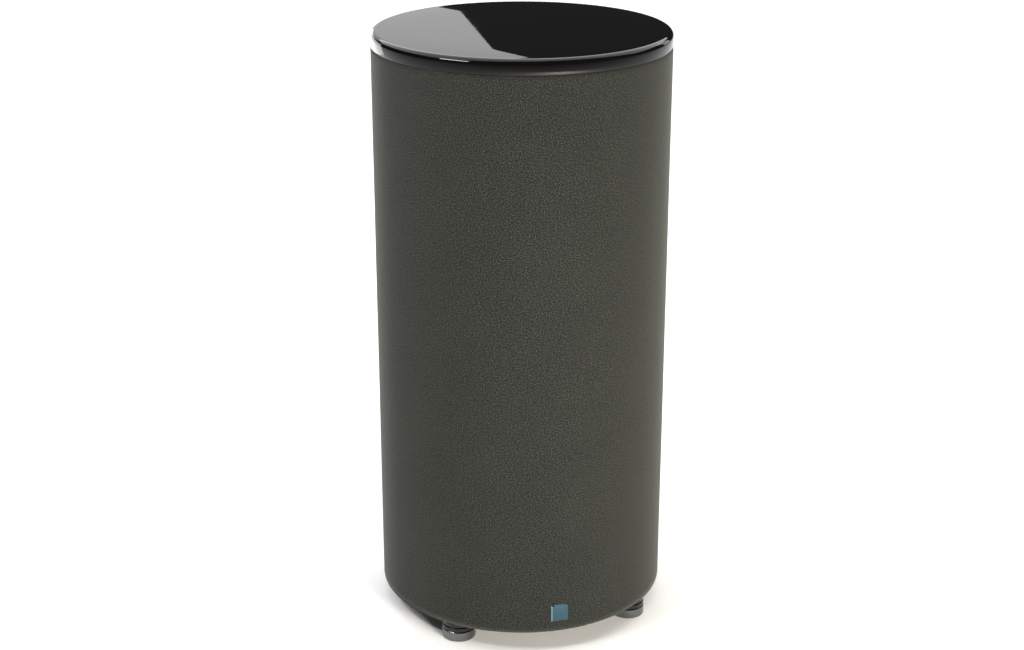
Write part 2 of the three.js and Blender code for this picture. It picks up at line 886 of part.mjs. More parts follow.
function buildAmplifier() {
  const amplifier = new THREE.Group();
  // X to -X, Y to Z and Z to +Y: the panel faces the rear
  amplifier.rotation.set(Math.PI / 2, Math.PI, 0);
  amplifier.position.set(0, PANEL.y, PANEL.z);
  add(amplifier, "amp_panel", amplifierPanel(), ANODISED);
  add(amplifier, "amp_gasket", panelGasket(), BLACK_RUBBER);
  add(amplifier, "amp_case", amplifierCase(), STEEL);
  add(amplifier, "circuit_board", circuitBoard(), CIRCUIT_GREEN);
  add(amplifier, "heat_sink", heatSink(), BARE_ALUMINIUM);
  add(amplifier, "transformer", transformer(), COPPER);
  add(amplifier, "reservoir_capacitor", capacitor(), BLACK_PLASTIC);
  add(amplifier, "mains_inlet", mainsInlet(), BLACK_PLASTIC, INLET.x, INLET.y);
  add(amplifier, "fuse_drawer", fuseDrawer(), BLACK_PLASTIC, INLET.x, INLET.y);
  add(amplifier, "switch_housing", switchHousing(), BLACK_PLASTIC, SWITCH.x, SWITCH.y);
  add(amplifier, "power_rocker", powerRocker(), BLACK_PLASTIC, SWITCH.x, SWITCH.y, ROCKER.deep);
  ["volume_knob", "lowpass_knob", "phase_knob"].forEach((name, i) =>
    add(amplifier, name, knob(), BLACK_PLASTIC, (i - 1) * CONTROL_PITCH, CONTROL_Y),
  );
  add(amplifier, "auto_switch_nub", switchNub(), BLACK_PLASTIC, SLIDER.x, SLIDER.y - 2.6);
  add(amplifier, "input_jacks", jackBlock(), GOLD, JACKS.input, JACKS.y);
  add(amplifier, "output_jacks", jackBlock(), GOLD, JACKS.output, JACKS.y);
  add(amplifier, "trigger_jack", triggerJack(), SATIN_NICKEL, TRIGGER.x, TRIGGER.y);
  add(amplifier, "status_led", statusLed(), LED_BLUE, LED.x, LED.y);
  return amplifier;
}

function buildFeet() {
  const feet = new THREE.Group();
  [225, 315, 45, 135].forEach((angle, i) => {
    const foot = new THREE.Group();
    foot.position.set(...onCircle(FOOT.circle, angle), 0);
    add(foot, `foot_${i + 1}_base`, footBase(), SATIN_NICKEL);
    add(foot, `foot_${i + 1}_pad`, footPad(), BLACK_RUBBER);
    add(foot, `foot_${i + 1}_hub`, footHub(), BLACK_PLASTIC);
    feet.add(foot);
  });
  return feet;
}

subwoofer.add(buildCabinet(), buildPort(), buildDriver(), buildAmplifier(), buildFeet());
add(subwoofer, "badge", badge(), BADGE_BLUE);
add(subwoofer, "amp_frame", amplifierFrame(), BLACK_PLASTIC);
add(subwoofer, "speaker_lead", speakerLead(), BLACK_RUBBER);

export default subwoofer;
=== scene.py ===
"""A round, knitted-sleeve subwoofer on four levelling feet, finished on its CAD frame."""

import json
import math

import bpy
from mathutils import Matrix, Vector, noise


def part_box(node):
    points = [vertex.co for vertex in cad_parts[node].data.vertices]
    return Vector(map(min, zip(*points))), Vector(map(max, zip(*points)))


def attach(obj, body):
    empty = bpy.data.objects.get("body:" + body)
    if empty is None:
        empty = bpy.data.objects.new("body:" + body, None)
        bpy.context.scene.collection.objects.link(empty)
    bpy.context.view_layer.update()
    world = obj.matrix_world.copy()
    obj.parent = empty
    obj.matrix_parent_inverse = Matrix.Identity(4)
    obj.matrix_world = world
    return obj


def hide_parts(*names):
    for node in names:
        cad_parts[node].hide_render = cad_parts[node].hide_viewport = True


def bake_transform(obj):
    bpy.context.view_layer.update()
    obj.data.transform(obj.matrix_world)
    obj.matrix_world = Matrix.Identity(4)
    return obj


bl_info = {
    "name": "Round subwoofer",
    "version": (1, 0, 0),
    "blender": (4, 5, 0),
    "location": "View3D > Sidebar > Subwoofer",
    "description": "Builds the visible pieces of a down-firing subwoofer on its CAD frame",
    "category": "Object",
}

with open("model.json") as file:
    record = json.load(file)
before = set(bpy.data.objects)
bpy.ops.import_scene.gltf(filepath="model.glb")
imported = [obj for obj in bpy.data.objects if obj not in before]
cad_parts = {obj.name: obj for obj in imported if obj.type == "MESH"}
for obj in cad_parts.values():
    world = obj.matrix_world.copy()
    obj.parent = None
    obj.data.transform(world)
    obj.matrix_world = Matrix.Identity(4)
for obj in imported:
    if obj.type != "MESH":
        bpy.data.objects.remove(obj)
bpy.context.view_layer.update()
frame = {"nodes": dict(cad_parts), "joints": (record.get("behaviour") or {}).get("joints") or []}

MM = 0.001
TAU = 2 * math.pi
WAVE_PERIOD = TAU / 20  # metres from crest to crest of a Wave texture at a scale of 1

# ---- Sizes that come from the frame ------------------------------------------------------------

SLEEVE_LOW, SLEEVE_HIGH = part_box("fabric_sleeve")
SLEEVE_R = SLEEVE_HIGH.x
CAP_LOW, CAP_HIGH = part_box("top_cap")
TRIM_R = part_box("amp_frame")[1].y
TRIM_IN = SLEEVE_R + 0.3 * MM
PANEL_LOW, PANEL_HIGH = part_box("amp_panel")
FLARE_LOW, FLARE_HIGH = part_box("port_flare")
PORT_Z = (FLARE_LOW.z + FLARE_HIGH.z) / 2
FLARE_LIP = (FLARE_HIGH.z - FLARE_LOW.z) / 2
BAFFLE_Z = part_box("driver_baffle")[0].z


def middle(node):
    """The middle of a CAD node's box."""
    low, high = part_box(node)
    return (low + high) / 2


# ---- Colours and node helpers ------------------------------------------------------------------


def linear(hex_colour):
    """An sRGB hex colour as linear red, green and blue."""
    values = [int(hex_colour[i : i + 2], 16) / 255 for i in (1, 3, 5)]
    return [v / 12.92 if v <= 0.04045 else ((v + 0.055) / 1.055) ** 2.4 for v in values]


def rgba(colour):
    """A hex colour or three numbers, with full opacity."""
    return (*(linear(colour) if isinstance(colour, str) else colour), 1.0)


def add(tree, kind, inputs=None, **settings):
    """Adds a node, with its settings, and sets or links its inputs."""
    made = tree.nodes.new(kind)
    for key, value in settings.items():
        setattr(made, key, value)
    for key, value in (inputs or {}).items():
        if isinstance(value, bpy.types.NodeSocket):
            tree.links.new(value, made.inputs[key])
        else:
            made.inputs[key].default_value = value
    return made


def ramp(tree, factor, stops):
    """A colour ramp over factor, with stops of (position, colour)."""
    made = add(tree, "ShaderNodeValToRGB", {"Fac": factor})
    elements = made.color_ramp.elements
    while len(elements) < len(stops):
        elements.new(0.5)
    for element, (position, colour) in zip(elements, stops):
        element.position = position
        element.color = rgba(colour)
    return made.outputs["Color"]


def material(name, build):
    """A material on one Principled shader. build(tree) gives what goes into its sockets."""
    made = bpy.data.materials.new(name)
    made.use_nodes = True
    tree = made.node_tree
    shader = tree.nodes["Principled BSDF"]
    for key, value in build(tree).items():
        if isinstance(value, bpy.types.NodeSocket):
            tree.links.new(value, shader.inputs[key])
        else:
            shader.inputs[key].default_value = value
    return made


def place(tree):
    """The piece's Object coordinates."""
    return add(tree, "ShaderNodeTexCoord").outputs["Object"]


def grain(tree, size, detail=4.0, vector=None, roughness=0.6):
    """Noise with features of that size, in millimetres."""
    inputs = {
        "Vector": vector or place(tree),
        "Scale": 1 / (size * MM),
        "Detail": detail,
        "Roughness": roughness,
    }
    return add(tree, "ShaderNodeTexNoise", inputs).outputs["Fac"]


def relief(tree, height, depth, strength=1.0):
    """A bump of that depth, in millimetres."""
    inputs = {"Height": height, "Distance": depth * MM, "Strength": strength}
    return add(tree, "ShaderNodeBump", inputs).outputs["Normal"]


def spread(tree, factor, low, high):
    """The useful middle of a noise, 0.3 to 0.7, as low to high."""
    inputs = {"Value": factor, "From Min": 0.3, "From Max": 0.7, "To Min": low, "To Max": high}
    return add(tree, "ShaderNodeMapRange", inputs).outputs["Result"]


def streaked(tree, stretch):
    """Object coordinates, scaled so that a pattern runs along the axis with the small number."""
    inputs = {"Vector": place(tree), "Scale": stretch}
    return add(tree, "ShaderNodeMapping", inputs).outputs["Vector"]


# ---- Families of material ----------------------------------------------------------------------


def moulded(name, colour, roughness, size=0.5, depth=0.03, ior=1.5, **more):
    """Moulded plastic or rubber, or a coat of paint or ink: fine texture breaks up its sheen."""

    def build(tree):
        fine = grain(tree, size)
        broad = grain(tree, 25)
        dark = [c * 0.8 for c in linear(colour)]
        return {
            "Base Color": ramp(tree, broad, [(0.35, dark), (0.65, colour)]),
            "Roughness": spread(tree, broad, roughness * 0.9, roughness * 1.1),
            "Normal": relief(tree, fine, depth),
            "IOR": ior,
            **more,
        }

    return material(name, build)


def metal(name, colour, roughness, stretch=(1, 1, 1), size=0.8, depth=0.01, metallic=1.0):
    """Plated, turned or cast metal: faint tool marks or casting grain along one axis."""

    def build(tree):
        marks = grain(tree, size, 3, streaked(tree, stretch))
        dark = [c * 0.82 for c in linear(colour)]
        return {
            "Base Color": ramp(tree, marks, [(0.3, dark), (0.7, colour)]),
            "Roughness": spread(tree, marks, roughness * 0.8, roughness * 1.25),
            "Metallic": metallic,
            "Normal": relief(tree, marks, depth),
        }

    return material(name, build)


def board(name, dark, light, roughness, size=1.2):
    """Pressed fibre or powder: pale and dark specks in a dry, dusty surface."""

    def build(tree):
        fibres = grain(tree, size, 6, roughness=0.75)
        clouds = grain(tree, 60, 2)
        both = add(tree, "ShaderNodeMath", {0: fibres, 1: clouds}, operation="ADD").outputs[0]
        half = add(tree, "ShaderNodeMath", {0: both, 1: 0.5}, operation="MULTIPLY").outputs[0]
        return {
            "Base Color": ramp(tree, half, [(0.38, dark), (0.62, light)]),
            "Roughness": roughness,
            "Normal": relief(tree, fibres, 0.12),
        }

    return material(name, build)


# ---- The knitted sleeve's material -------------------------------------------------------------

UV_SPAN = 1.4  # metres of cloth in the whole of the sleeve's UV map


def melange_knit(settings):
    """Single-jersey polyester knit in a melange of three yarns: rows of V-shaped loops,
    pale and dark flecks along the rows, and fibre ends that catch the light at the edges."""

    def build(tree):
        uv = add(tree, "ShaderNodeUVMap", uv_map="cloth").outputs["UV"]
        flat = add(tree, "ShaderNodeVectorMath", {0: uv, 1: (UV_SPAN,) * 3}, operation="MULTIPLY")
        at = flat.outputs["Vector"]
        # the loops: columns and rows, twice as coarse as a real 28-gauge knit so that they show
        pitch = settings.yarn_pitch
        columns = add(
            tree,
            "ShaderNodeTexWave",
            {"Vector": at, "Scale": WAVE_PERIOD / pitch, "Distortion": 0.6, "Detail Scale": 2.0},
            wave_profile="SIN",
        ).outputs["Fac"]
        rows = add(
            tree,
            "ShaderNodeTexWave",
            {"Vector": at, "Scale": WAVE_PERIOD / (pitch * 0.8), "Distortion": 0.6},
            bands_direction="Y",
            wave_profile="SIN",
        ).outputs["Fac"]
        loops = add(tree, "ShaderNodeMath", {0: columns, 1: rows}, operation="MULTIPLY").outputs[0]
        # flecks: short lengths of dyed yarn, about 1.5 mm high and 2 mm along the row
        along_row = add(tree, "ShaderNodeMapping", {"Vector": at, "Scale": (0.75, 1, 1)})
        flecks = grain(tree, 1.5, 2, along_row.outputs["Vector"])
        fine = grain(tree, 0.8, 2, at)
        drift = grain(tree, 90, 2, at)
        mixed = add(
            tree,
            "ShaderNodeMix",
            {"Factor": 0.35, "A": flecks, "B": fine},
            data_type="FLOAT",
        ).outputs["Result"]
        stops = [
            (0.4, list(settings.dark_yarn)),
            (0.5, list(settings.mid_yarn)),
            (0.62, list(settings.pale_yarn)),
        ]
        colour = ramp(tree, mixed, stops)
        # painted shade: the colour darkens where the loops dip and brightens a little on their
        # crowns
        painted_loop_shade = add(
            tree,
            "ShaderNodeMapRange",
            {"Value": loops, "To Min": 0.74, "To Max": 1.08},
        ).outputs["Result"]
        cloudy = spread(tree, drift, 0.95, 1.05)
        loop_shade_and_drift = add(tree, "ShaderNodeMath", {0: painted_loop_shade, 1: cloudy}, operation="MULTIPLY").outputs[0]
        shaded_knit_colour = add(tree, "ShaderNodeVectorMath", {0: colour, 3: loop_shade_and_drift}, operation="SCALE")
        height = add(tree, "ShaderNodeMath", {0: loops, 1: mixed}, operation="ADD").outputs[0]
        return {
            "Base Color": shaded_knit_colour.outputs["Vector"],
            "Roughness": 0.92,
            "Sheen Weight": settings.sheen,
            "Sheen Roughness": 0.45,
            "Sheen Tint": rgba("#c9cbbf"),
            "Specular IOR Level": 0.25,
            "Normal": relief(tree, height, 0.025, 0.4),
        }

    return material("melange_knit", build)


def black_lacquer():
    """Polyester lacquer, sprayed and polished: a deep mirror with a faint waviness."""

    def build(tree):
        waves = grain(tree, 14, 1)
        haze = grain(tree, 70, 3)
        return {
            "Base Color": rgba("#0a0909"),
            "Roughness": spread(tree, haze, 0.012, 0.03),
            "Normal": relief(tree, waves, 0.004),
            "IOR": 1.38,
        }

    return material("black_lacquer", build)


def pulp_cone():
    """Pressed paper pulp with a damping coat: matt, with fibres that run every way."""

    def build(tree):
        fibres = grain(tree, 1.6, 8, roughness=0.8)
        return {
            "Base Color": ramp(tree, fibres, [(0.35, "#121213"), (0.65, "#29292b")]),
            "Roughness": 0.62,
            "Normal": relief(tree, fibres, 0.15),
        }

    return material("pulp_cone", build)


def wound_fibreboard(low):
    """Kraft paper wound into a tube: brown, with the slanting edges of its plies, and painted
    black on its lower end, which shows round the baffle."""

    def build(tree):
        slant = add(tree, "ShaderNodeMapping", {"Vector": place(tree), "Rotation": (0.4, 0, 0)})
        inputs = {"Vector": slant.outputs["Vector"], "Scale": 1.6, "Distortion": 0.3}
        plies = add(tree, "ShaderNodeTexWave", inputs, bands_direction="Z").outputs["Fac"]
        fibres = grain(tree, 1.5, 6)
        both = add(tree, "ShaderNodeMath", {0: plies, 1: fibres}, operation="MULTIPLY").outputs[0]
        brown = ramp(tree, both, [(0.1, "#6f5236"), (0.5, "#9c7a52")])
        paint = ramp(tree, fibres, [(0.3, "#0e0e0e"), (0.7, "#1a1a19")])
        height = add(tree, "ShaderNodeSeparateXYZ", {"Vector": place(tree)}).outputs["Z"]
        painted = add(tree, "ShaderNodeMath", {0: height, 1: low + 8 * MM}, operation="LESS_THAN")
        inputs = {0: painted.outputs[0], 6: brown, 7: paint}
        return {
            "Base Color": add(tree, "ShaderNodeMix", inputs, data_type="RGBA").outputs[2],
            "Roughness": 0.9,
            "Normal": relief(tree, fibres, 0.1),
        }

    return material("wound_fibreboard", build)


def woven(name, dark, light, pitch):
    """Plain-woven cotton, stiffened with resin: threads over and under, both ways."""

    def build(tree):
        waves = [
            add(
                tree,
                "ShaderNodeTexWave",
                {"Vector": place(tree), "Scale": WAVE_PERIOD / (pitch * MM)},
                bands_direction=way,
            ).outputs["Fac"]
            for way in "XY"
        ]
        weave = add(tree, "ShaderNodeMath", {0: waves[0], 1: waves[1]}, operation="MULTIPLY")
        return {
            "Base Color": ramp(tree, weave.outputs[0], [(0.1, dark), (0.7, light)]),
            "Roughness": 0.85,
            "Normal": relief(tree, weave.outputs[0], 0.3),
        }

    return material(name, build)


def felt():
    """Needled polyester felt: soft, matted fibres with no direction."""

    def build(tree):
        fibres = grain(tree, 3, 8, roughness=0.85)
        return {
            "Base Color": ramp(tree, fibres, [(0.3, "#98948a"), (0.7, "#d3d0c6")]),
            "Roughness": 1.0,
            "Sheen Weight": 0.4,
            "Normal": relief(tree, fibres, 1.0),
        }

    return material("needled_felt", build)


def winding(name, dark, light, pitch):
    """Wire or tape wound round an upright axis: fine, even rings."""

    def build(tree):
        inputs = {"Vector": place(tree), "Scale": WAVE_PERIOD / (pitch * MM)}
        rings = add(tree, "ShaderNodeTexWave", inputs, bands_direction="Z").outputs["Fac"]
        return {
            "Base Color": ramp(tree, rings, [(0.1, dark), (0.8, light)]),
            "Roughness": 0.4,
            "Normal": relief(tree, rings, 0.2),
        }

    return material(name, build)


# ---- Mesh helpers ------------------------------------------------------------------------------


def shown(name, data):
    """A new object in the scene, at the origin."""
    made = bpy.data.objects.new(name, data)
    bpy.context.scene.collection.objects.link(made)
    return made


def make(name, points, faces, finish, crease=35):
    """An object from points in metres, shaded smooth with edges sharp past an angle."""
    mesh = bpy.data.meshes.new(name)
    mesh.from_pydata([tuple(p) for p in points], [], faces)
    mesh.validate()
    mesh.shade_smooth()
    mesh.set_sharp_from_angle(angle=math.radians(crease))
    mesh.materials.append(finish)
    return shown(name, mesh)


def applied(made):
    """The object with its modifiers made part of its mesh."""
    depsgraph = bpy.context.evaluated_depsgraph_get()
    mesh = bpy.data.meshes.new_from_object(made.evaluated_get(depsgraph))
    made.modifiers.clear()
    made.data = mesh
    return made


def drawn(name, curve, finish):
    """A text or a bevelled curve as a mesh of one material."""
    source = shown(name, curve)
    bpy.context.view_layer.update()
    depsgraph = bpy.context.evaluated_depsgraph_get()
    mesh = bpy.data.meshes.new_from_object(source.evaluated_get(depsgraph))
    bpy.data.objects.remove(source)
    mesh.materials.clear()
    mesh.materials.append(finish)
    return mesh


def bevelled(made, width):
    """The object with its sharp edges rounded by that many millimetres."""
    modifier = made.modifiers.new("edges", "BEVEL")
    modifier.width = width * MM
    modifier.segments = 2
    return applied(made)


def walled(made, thickness):
    """The object's surface given a wall on its inner side, in millimetres."""
    modifier = made.modifiers.new("wall", "SOLIDIFY")
    modifier.thickness = thickness * MM
    modifier.offset = -1
    return applied(made)


def rides(made, body, slot, *nodes):
    """Puts a finished piece on its body, with the CAD nodes that it stands for. Its slot is not
    used.
    """
    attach(made, body)
    if nodes:
        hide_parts(*nodes)
    return made


def dress(finish, *nodes):
    """Gives CAD nodes their material."""
    for node in nodes:
        mesh = frame["nodes"][node].data
        mesh.materials.clear()
        mesh.materials.append(finish)


def loft(loops, closed=True):
    """Points and faces through loops of equal length. A loop of one point is a pole."""
    points, starts, faces = [], [], []
    for loop in loops:
        starts.append(len(points))
        points += loop
    pairs = list(zip(range(len(loops)), range(1, len(loops))))
    if closed:
        pairs.append((len(loops) - 1, 0))
    for i, j in pairs:
        a, b = starts[i], starts[j]
        n, m = len(loops[i]), len(loops[j])
        count = max(n, m)
        for k in range(count):
            q = (k + 1) % count
            corners = [a + k % n, b + k % m, b + q % m, a + q % n]
            faces.append(tuple(dict.fromkeys(corners)))
    return points, [f for f in faces if len(f) > 2]


def eased(profile, radius, steps=2):
    """A closed profile with its corners rounded. Points on the axis stay."""
    out = []
    for i, (r, z) in enumerate(profile):
        here = Vector((r, z))
        if r == 0:
            out.append((r, z))
            continue
        before = Vector(profile[i - 1]) - here
        after = Vector(profile[(i + 1) % len(profile)]) - here
        cut = min(radius, before.length * 0.4, after.length * 0.4)
        p, q = here + before.normalized() * cut, here + after.normalized() * cut
        for s in range(steps + 1):
            t = s / steps
            point = p * (1 - t) ** 2 + here * 2 * t * (1 - t) + q * t * t
            out.append((point.x, point.y))
    return out


def area(profile):
    """Twice the signed area inside a profile."""
    pairs = zip(profile, profile[1:] + profile[:1])
    return sum(a[0] * b[1] - b[0] * a[1] for a, b in pairs)


def turned(name, profile, finish, steps=96, at=(0, 0, 0), axis="Z", ease=0.4, crease=35):
    """Turns a closed profile of (radius, height) in millimetres about an axis."""
    if area(profile) < 0:
        profile = profile[::-1]
    profile = eased(profile, ease) if ease else profile
    while any(r == 0 for r, z in profile) and not (profile[0][0] == 0 and profile[-1][0] == 0):
        profile = profile[1:] + profile[:1]
    loops = []
    for r, z in profile:
        count = steps if r > 0 else 1
        ring = []
        for k in range(count):
            a = -TAU * k / steps
            x, y = r * math.cos(a), r * math.sin(a)
            local = (x, y, z) if axis == "Z" else (x, z, -y)
            ring.append(Vector(local) * MM + Vector(at))
        loops.append(ring)
    onaxis = len(loops[0]) == 1
    points, faces = loft(loops, closed=not onaxis)
    return make(name, points, faces, finish, crease)


def arc(cr, cz, r, start, end, steps):
    """Points of an arc in a profile, between two angles in degrees."""
    angles = [math.radians(start + (end - start) * i / steps) for i in range(steps + 1)]
    return [(cr + r * math.cos(a), cz + r * math.sin(a)) for a in angles]


def rounded_loop(half_w, half_h, corner, per_side=24, per_corner=6):
    """Points of a rounded rectangle, counter-clockwise, that match those of any other size."""
    corners = [(1, 1, 0), (-1, 1, 90), (-1, -1, 180), (1, -1, 270)]
    loop = []
    for i, (sx, sy, start) in enumerate(corners):
        cx, cy = sx * (half_w - corner), sy * (half_h - corner)
        for s in range(per_corner + 1):
            a = math.radians(start + 90 * s / per_corner)
            loop.append((cx + corner * math.cos(a), cy + corner * math.sin(a)))
        nx, ny, next_start = corners[(i + 1) % 4]
        b = math.radians(next_start)
        to = (
            nx * (half_w - corner) + corner * math.cos(b),
            ny * (half_h - corner) + corner * math.sin(b),
        )
        here = loop[-1]
        loop += [
            tuple(here[k] + (to[k] - here[k]) * s / per_side for k in (0, 1))
            for s in range(1, per_side)
        ]
    return loop


BOX_FACES = [(3, 2, 1, 0), (4, 5, 6, 7), (0, 1, 5, 4), (1, 2, 6, 5), (2, 3, 7, 6), (3, 0, 4, 7)]


def block(name, low, high, finish, bevel=0.3):
    """A box between two corners in metres, with small round edges."""
    (x0, y0, z0), (x1, y1, z1) = low, high
    points = [(x, y, z) for z in (z0, z1) for x, y in ((x0, y0), (x1, y0), (x1, y1), (x0, y1))]
    return bevelled(make(name, points, BOX_FACES, finish), bevel)


def joined(name, parts):
    """Several objects as one, which keeps their materials."""
    with bpy.context.temp_override(
        active_object=parts[0], selected_editable_objects=parts, object=parts[0]
    ):
        bpy.ops.object.join()
    parts[0].name = name
    parts[0].data.name = name
    return parts[0]


# ---- Node trees for what repeats ---------------------------------------------------------------


def new_tree(name, sockets):
    """An empty Geometry Nodes tree with a geometry in and out, and named inputs."""
    tree = bpy.data.node_groups.new(name, "GeometryNodeTree")
    tree.interface.new_socket("Geometry", in_out="OUTPUT", socket_type="NodeSocketGeometry")
    tree.interface.new_socket("Geometry", in_out="INPUT", socket_type="NodeSocketGeometry")
    for title, kind in sockets.items():
        tree.interface.new_socket(title, in_out="INPUT", socket_type="NodeSocket" + kind)
    return tree, add(tree, "NodeGroupInput").outputs


def close_tree(tree, instances, finish):
    """Ends a tree: real geometry, with its material."""
    real = add(tree, "GeometryNodeRealizeInstances", {"Geometry": instances})
    inputs = {"Geometry": real.outputs["Geometry"], "Material": finish}
    painted = add(tree, "GeometryNodeSetMaterial", inputs)
    add(tree, "NodeGroupOutput", {"Geometry": painted.outputs["Geometry"]})
    return tree


def screw_tree():
    """A socket-head screw on every point, facing one way."""
    sockets = {
        "Head Radius": "Float",
        "Head Height": "Float",
        "Socket Radius": "Float",
        "Facing": "Vector",
        "Material": "Material",
    }
    tree, given = new_tree("screws", sockets)
    top = add(
        tree, "ShaderNodeMath", {0: given["Head Radius"], 1: 0.84}, operation="MULTIPLY"
    ).outputs[0]
    head = add(
        tree,
        "GeometryNodeMeshCone",
        {
            "Vertices": 20,
            "Radius Top": top,
            "Radius Bottom": given["Head Radius"],
            "Depth": given["Head Height"],
        },
    )
    hexagon = add(
        tree,
        "GeometryNodeMeshCylinder",
        {"Vertices": 6, "Radius": given["Socket Radius"], "Depth": given["Head Height"]},
    )
    up = add(tree, "ShaderNodeCombineXYZ", {"Z": given["Head Height"]})
    raised = add(
        tree,
        "GeometryNodeTransform",
        {"Geometry": hexagon.outputs["Mesh"], "Translation": up.outputs["Vector"]},
    )
    bored = add(tree, "GeometryNodeMeshBoolean", {"Mesh 1": head.outputs["Mesh"]})
    tree.links.new(raised.outputs["Geometry"], bored.inputs["Mesh 2"])
    turn = add(tree, "FunctionNodeAlignRotationToVector", {"Vector": given["Facing"]}, axis="Z")
    inputs = {
        "Points": given["Geometry"],
        "Instance": bored.outputs["Mesh"],
        "Rotation": turn.outputs["Rotation"],
    }
    spots = add(tree, "GeometryNodeInstanceOnPoints", inputs)
    return close_tree(tree, spots.outputs["Instances"], given["Material"])


def dial_tree():
    """A ring of printed marks round every point, on a panel that faces one way."""
    sockets = {
        "Count": "Int",
        "Radius": "Float",
        "Sweep": "Float",
        "Length": "Float",
        "Width": "Float",
        "Thickness": "Float",
        "Facing": "Vector",
        "Material": "Material",
    }
    tree, given = new_tree("dial_marks", sockets)

    def worked(a, b, operation):
        """The result of one sum on a and b."""
        return add(tree, "ShaderNodeMath", {0: a, 1: b}, operation=operation).outputs[0]

    index = add(tree, "GeometryNodeInputIndex").outputs[0]
    gaps = worked(given["Count"], 1.0, "SUBTRACT")
    share = worked(worked(index, gaps, "DIVIDE"), 0.5, "SUBTRACT")
    angle = worked(worked(share, given["Sweep"], "MULTIPLY"), math.pi / 2, "SUBTRACT")
    x = worked(worked(angle, 0.0, "COSINE"), given["Radius"], "MULTIPLY")
    y = worked(worked(angle, 0.0, "SINE"), given["Radius"], "MULTIPLY")
    spot = add(tree, "ShaderNodeCombineXYZ", {"X": x, "Y": y})
    ring = add(
        tree, "GeometryNodePoints", {"Count": given["Count"], "Position": spot.outputs["Vector"]}
    )
    size = add(
        tree,
        "ShaderNodeCombineXYZ",
        {"X": given["Length"], "Y": given["Width"], "Z": given["Thickness"]},
    )
    bar = add(tree, "GeometryNodeMeshCube", {"Size": size.outputs["Vector"]})
    spin = add(tree, "ShaderNodeCombineXYZ", {"Z": angle})
    turned_bar = add(tree, "FunctionNodeEulerToRotation", {"Euler": spin.outputs["Vector"]})
    marks = add(
        tree,
        "GeometryNodeInstanceOnPoints",
        {
            "Points": ring.outputs[0],
            "Instance": bar.outputs["Mesh"],
            "Rotation": turned_bar.outputs["Rotation"],
        },
    )
    turn = add(tree, "FunctionNodeAlignRotationToVector", {"Vector": given["Facing"]}, axis="Z")
    dials = add(
        tree,
        "GeometryNodeInstanceOnPoints",
        {
            "Points": given["Geometry"],
            "Instance": marks.outputs["Instances"],
            "Rotation": turn.outputs["Rotation"],
        },
    )
    return close_tree(tree, dials.outputs["Instances"], given["Material"])


def stitch_tree():
    """Short upright stitches along a line, one to each pitch."""
    sockets = {"Pitch": "Float", "Size": "Vector", "Material": "Material"}
    tree, given = new_tree("stitches", sockets)
    line = add(tree, "GeometryNodeMeshToCurve", {"Mesh": given["Geometry"]})
    spaced = add(
        tree,
        "GeometryNodeResampleCurve",
        {"Curve": line.outputs["Curve"], "Length": given["Pitch"]},
        mode="LENGTH",
    )
    yarn = add(tree, "GeometryNodeMeshUVSphere", {"Segments": 6, "Rings": 5, "Radius": 0.5})
    inputs = {
        "Points": spaced.outputs["Curve"],
        "Instance": yarn.outputs["Mesh"],
        "Scale": given["Size"],
    }
    made = add(tree, "GeometryNodeInstanceOnPoints", inputs)
    return close_tree(tree, made.outputs["Instances"], given["Material"])


def grown(name, tree, points, edges, **values):
    """A node tree's result on a set of points, as a plain object."""
    mesh = bpy.data.meshes.new(name + "_points")
    mesh.from_pydata([tuple(p) for p in points], edges, [])
    source = shown(name, mesh)
    modifier = source.modifiers.new("nodes", "NODES")
    modifier.node_group = tree
    names = {
        item.name: item.identifier
        for item in tree.interface.items_tree
        if item.item_type == "SOCKET" and item.in_out == "INPUT"
    }
    for key, value in values.items():
        modifier[names[key]] = value
    bpy.context.view_layer.update()
    return applied(source)


def numeral(name, text, size, at, finish):
    """A printed number on the rear panel, centred on a point and read from behind."""
    curve = bpy.data.curves.new(name, "FONT")
    curve.body = text
    curve.size = size * MM
    curve.align_x = "CENTER"
    curve.align_y = "CENTER"
    curve.extrude = 0.06 * MM
    mesh = drawn(name, curve, finish)
    for vertex in mesh.vertices:
        x, y, z = vertex.co
        vertex.co = Vector(at) + Vector((-x, z, y))
    return shown(name, mesh)


# ---- Settings ----------------------------------------------------------------------------------


class SleeveSettings(bpy.types.PropertyGroup):
    dark_yarn: bpy.props.FloatVectorProperty(
        name="Dark Yarn",
        description="The darkest yarn in the melange",
        subtype="COLOR",
        default=linear("#131412"),
        min=0,
        max=1,
    )
    mid_yarn: bpy.props.FloatVectorProperty(
        name="Middle Yarn",
        description="The yarn that most of the cloth is knitted from",
        subtype="COLOR",
        default=linear("#242523"),
        min=0,
        max=1,
    )
    pale_yarn: bpy.props.FloatVectorProperty(
        name="Pale Yarn",
        description="The palest flecks",
        subtype="COLOR",
        default=linear("#4d4f49"),
        min=0,
        max=1,
    )
    yarn_pitch: bpy.props.FloatProperty(
        name="Column Pitch",
        description="Distance between two columns of loops",
        unit="LENGTH",
        default=1.7 * MM,
        min=0.5 * MM,
        max=5 * MM,
        precision=5,
    )
    sheen: bpy.props.FloatProperty(
        name="Sheen",
        description="How much the fibre ends catch the light at the edges",
        subtype="FACTOR",
        default=0.25,
        min=0,
        max=1,
    )
    columns: bpy.props.IntProperty(
        name="Faces Round",
        description="Faces round the cloth",
        default=240,
        min=48,
        max=480,
    )


class CapSettings(bpy.types.PropertyGroup):
    edge: bpy.props.FloatProperty(
        name="Edge Radius",
        description="Radius of the cap's top edge",
        unit="LENGTH",
        default=8 * MM,
        min=1 * MM,
        max=12 * MM,
        precision=4,
    )


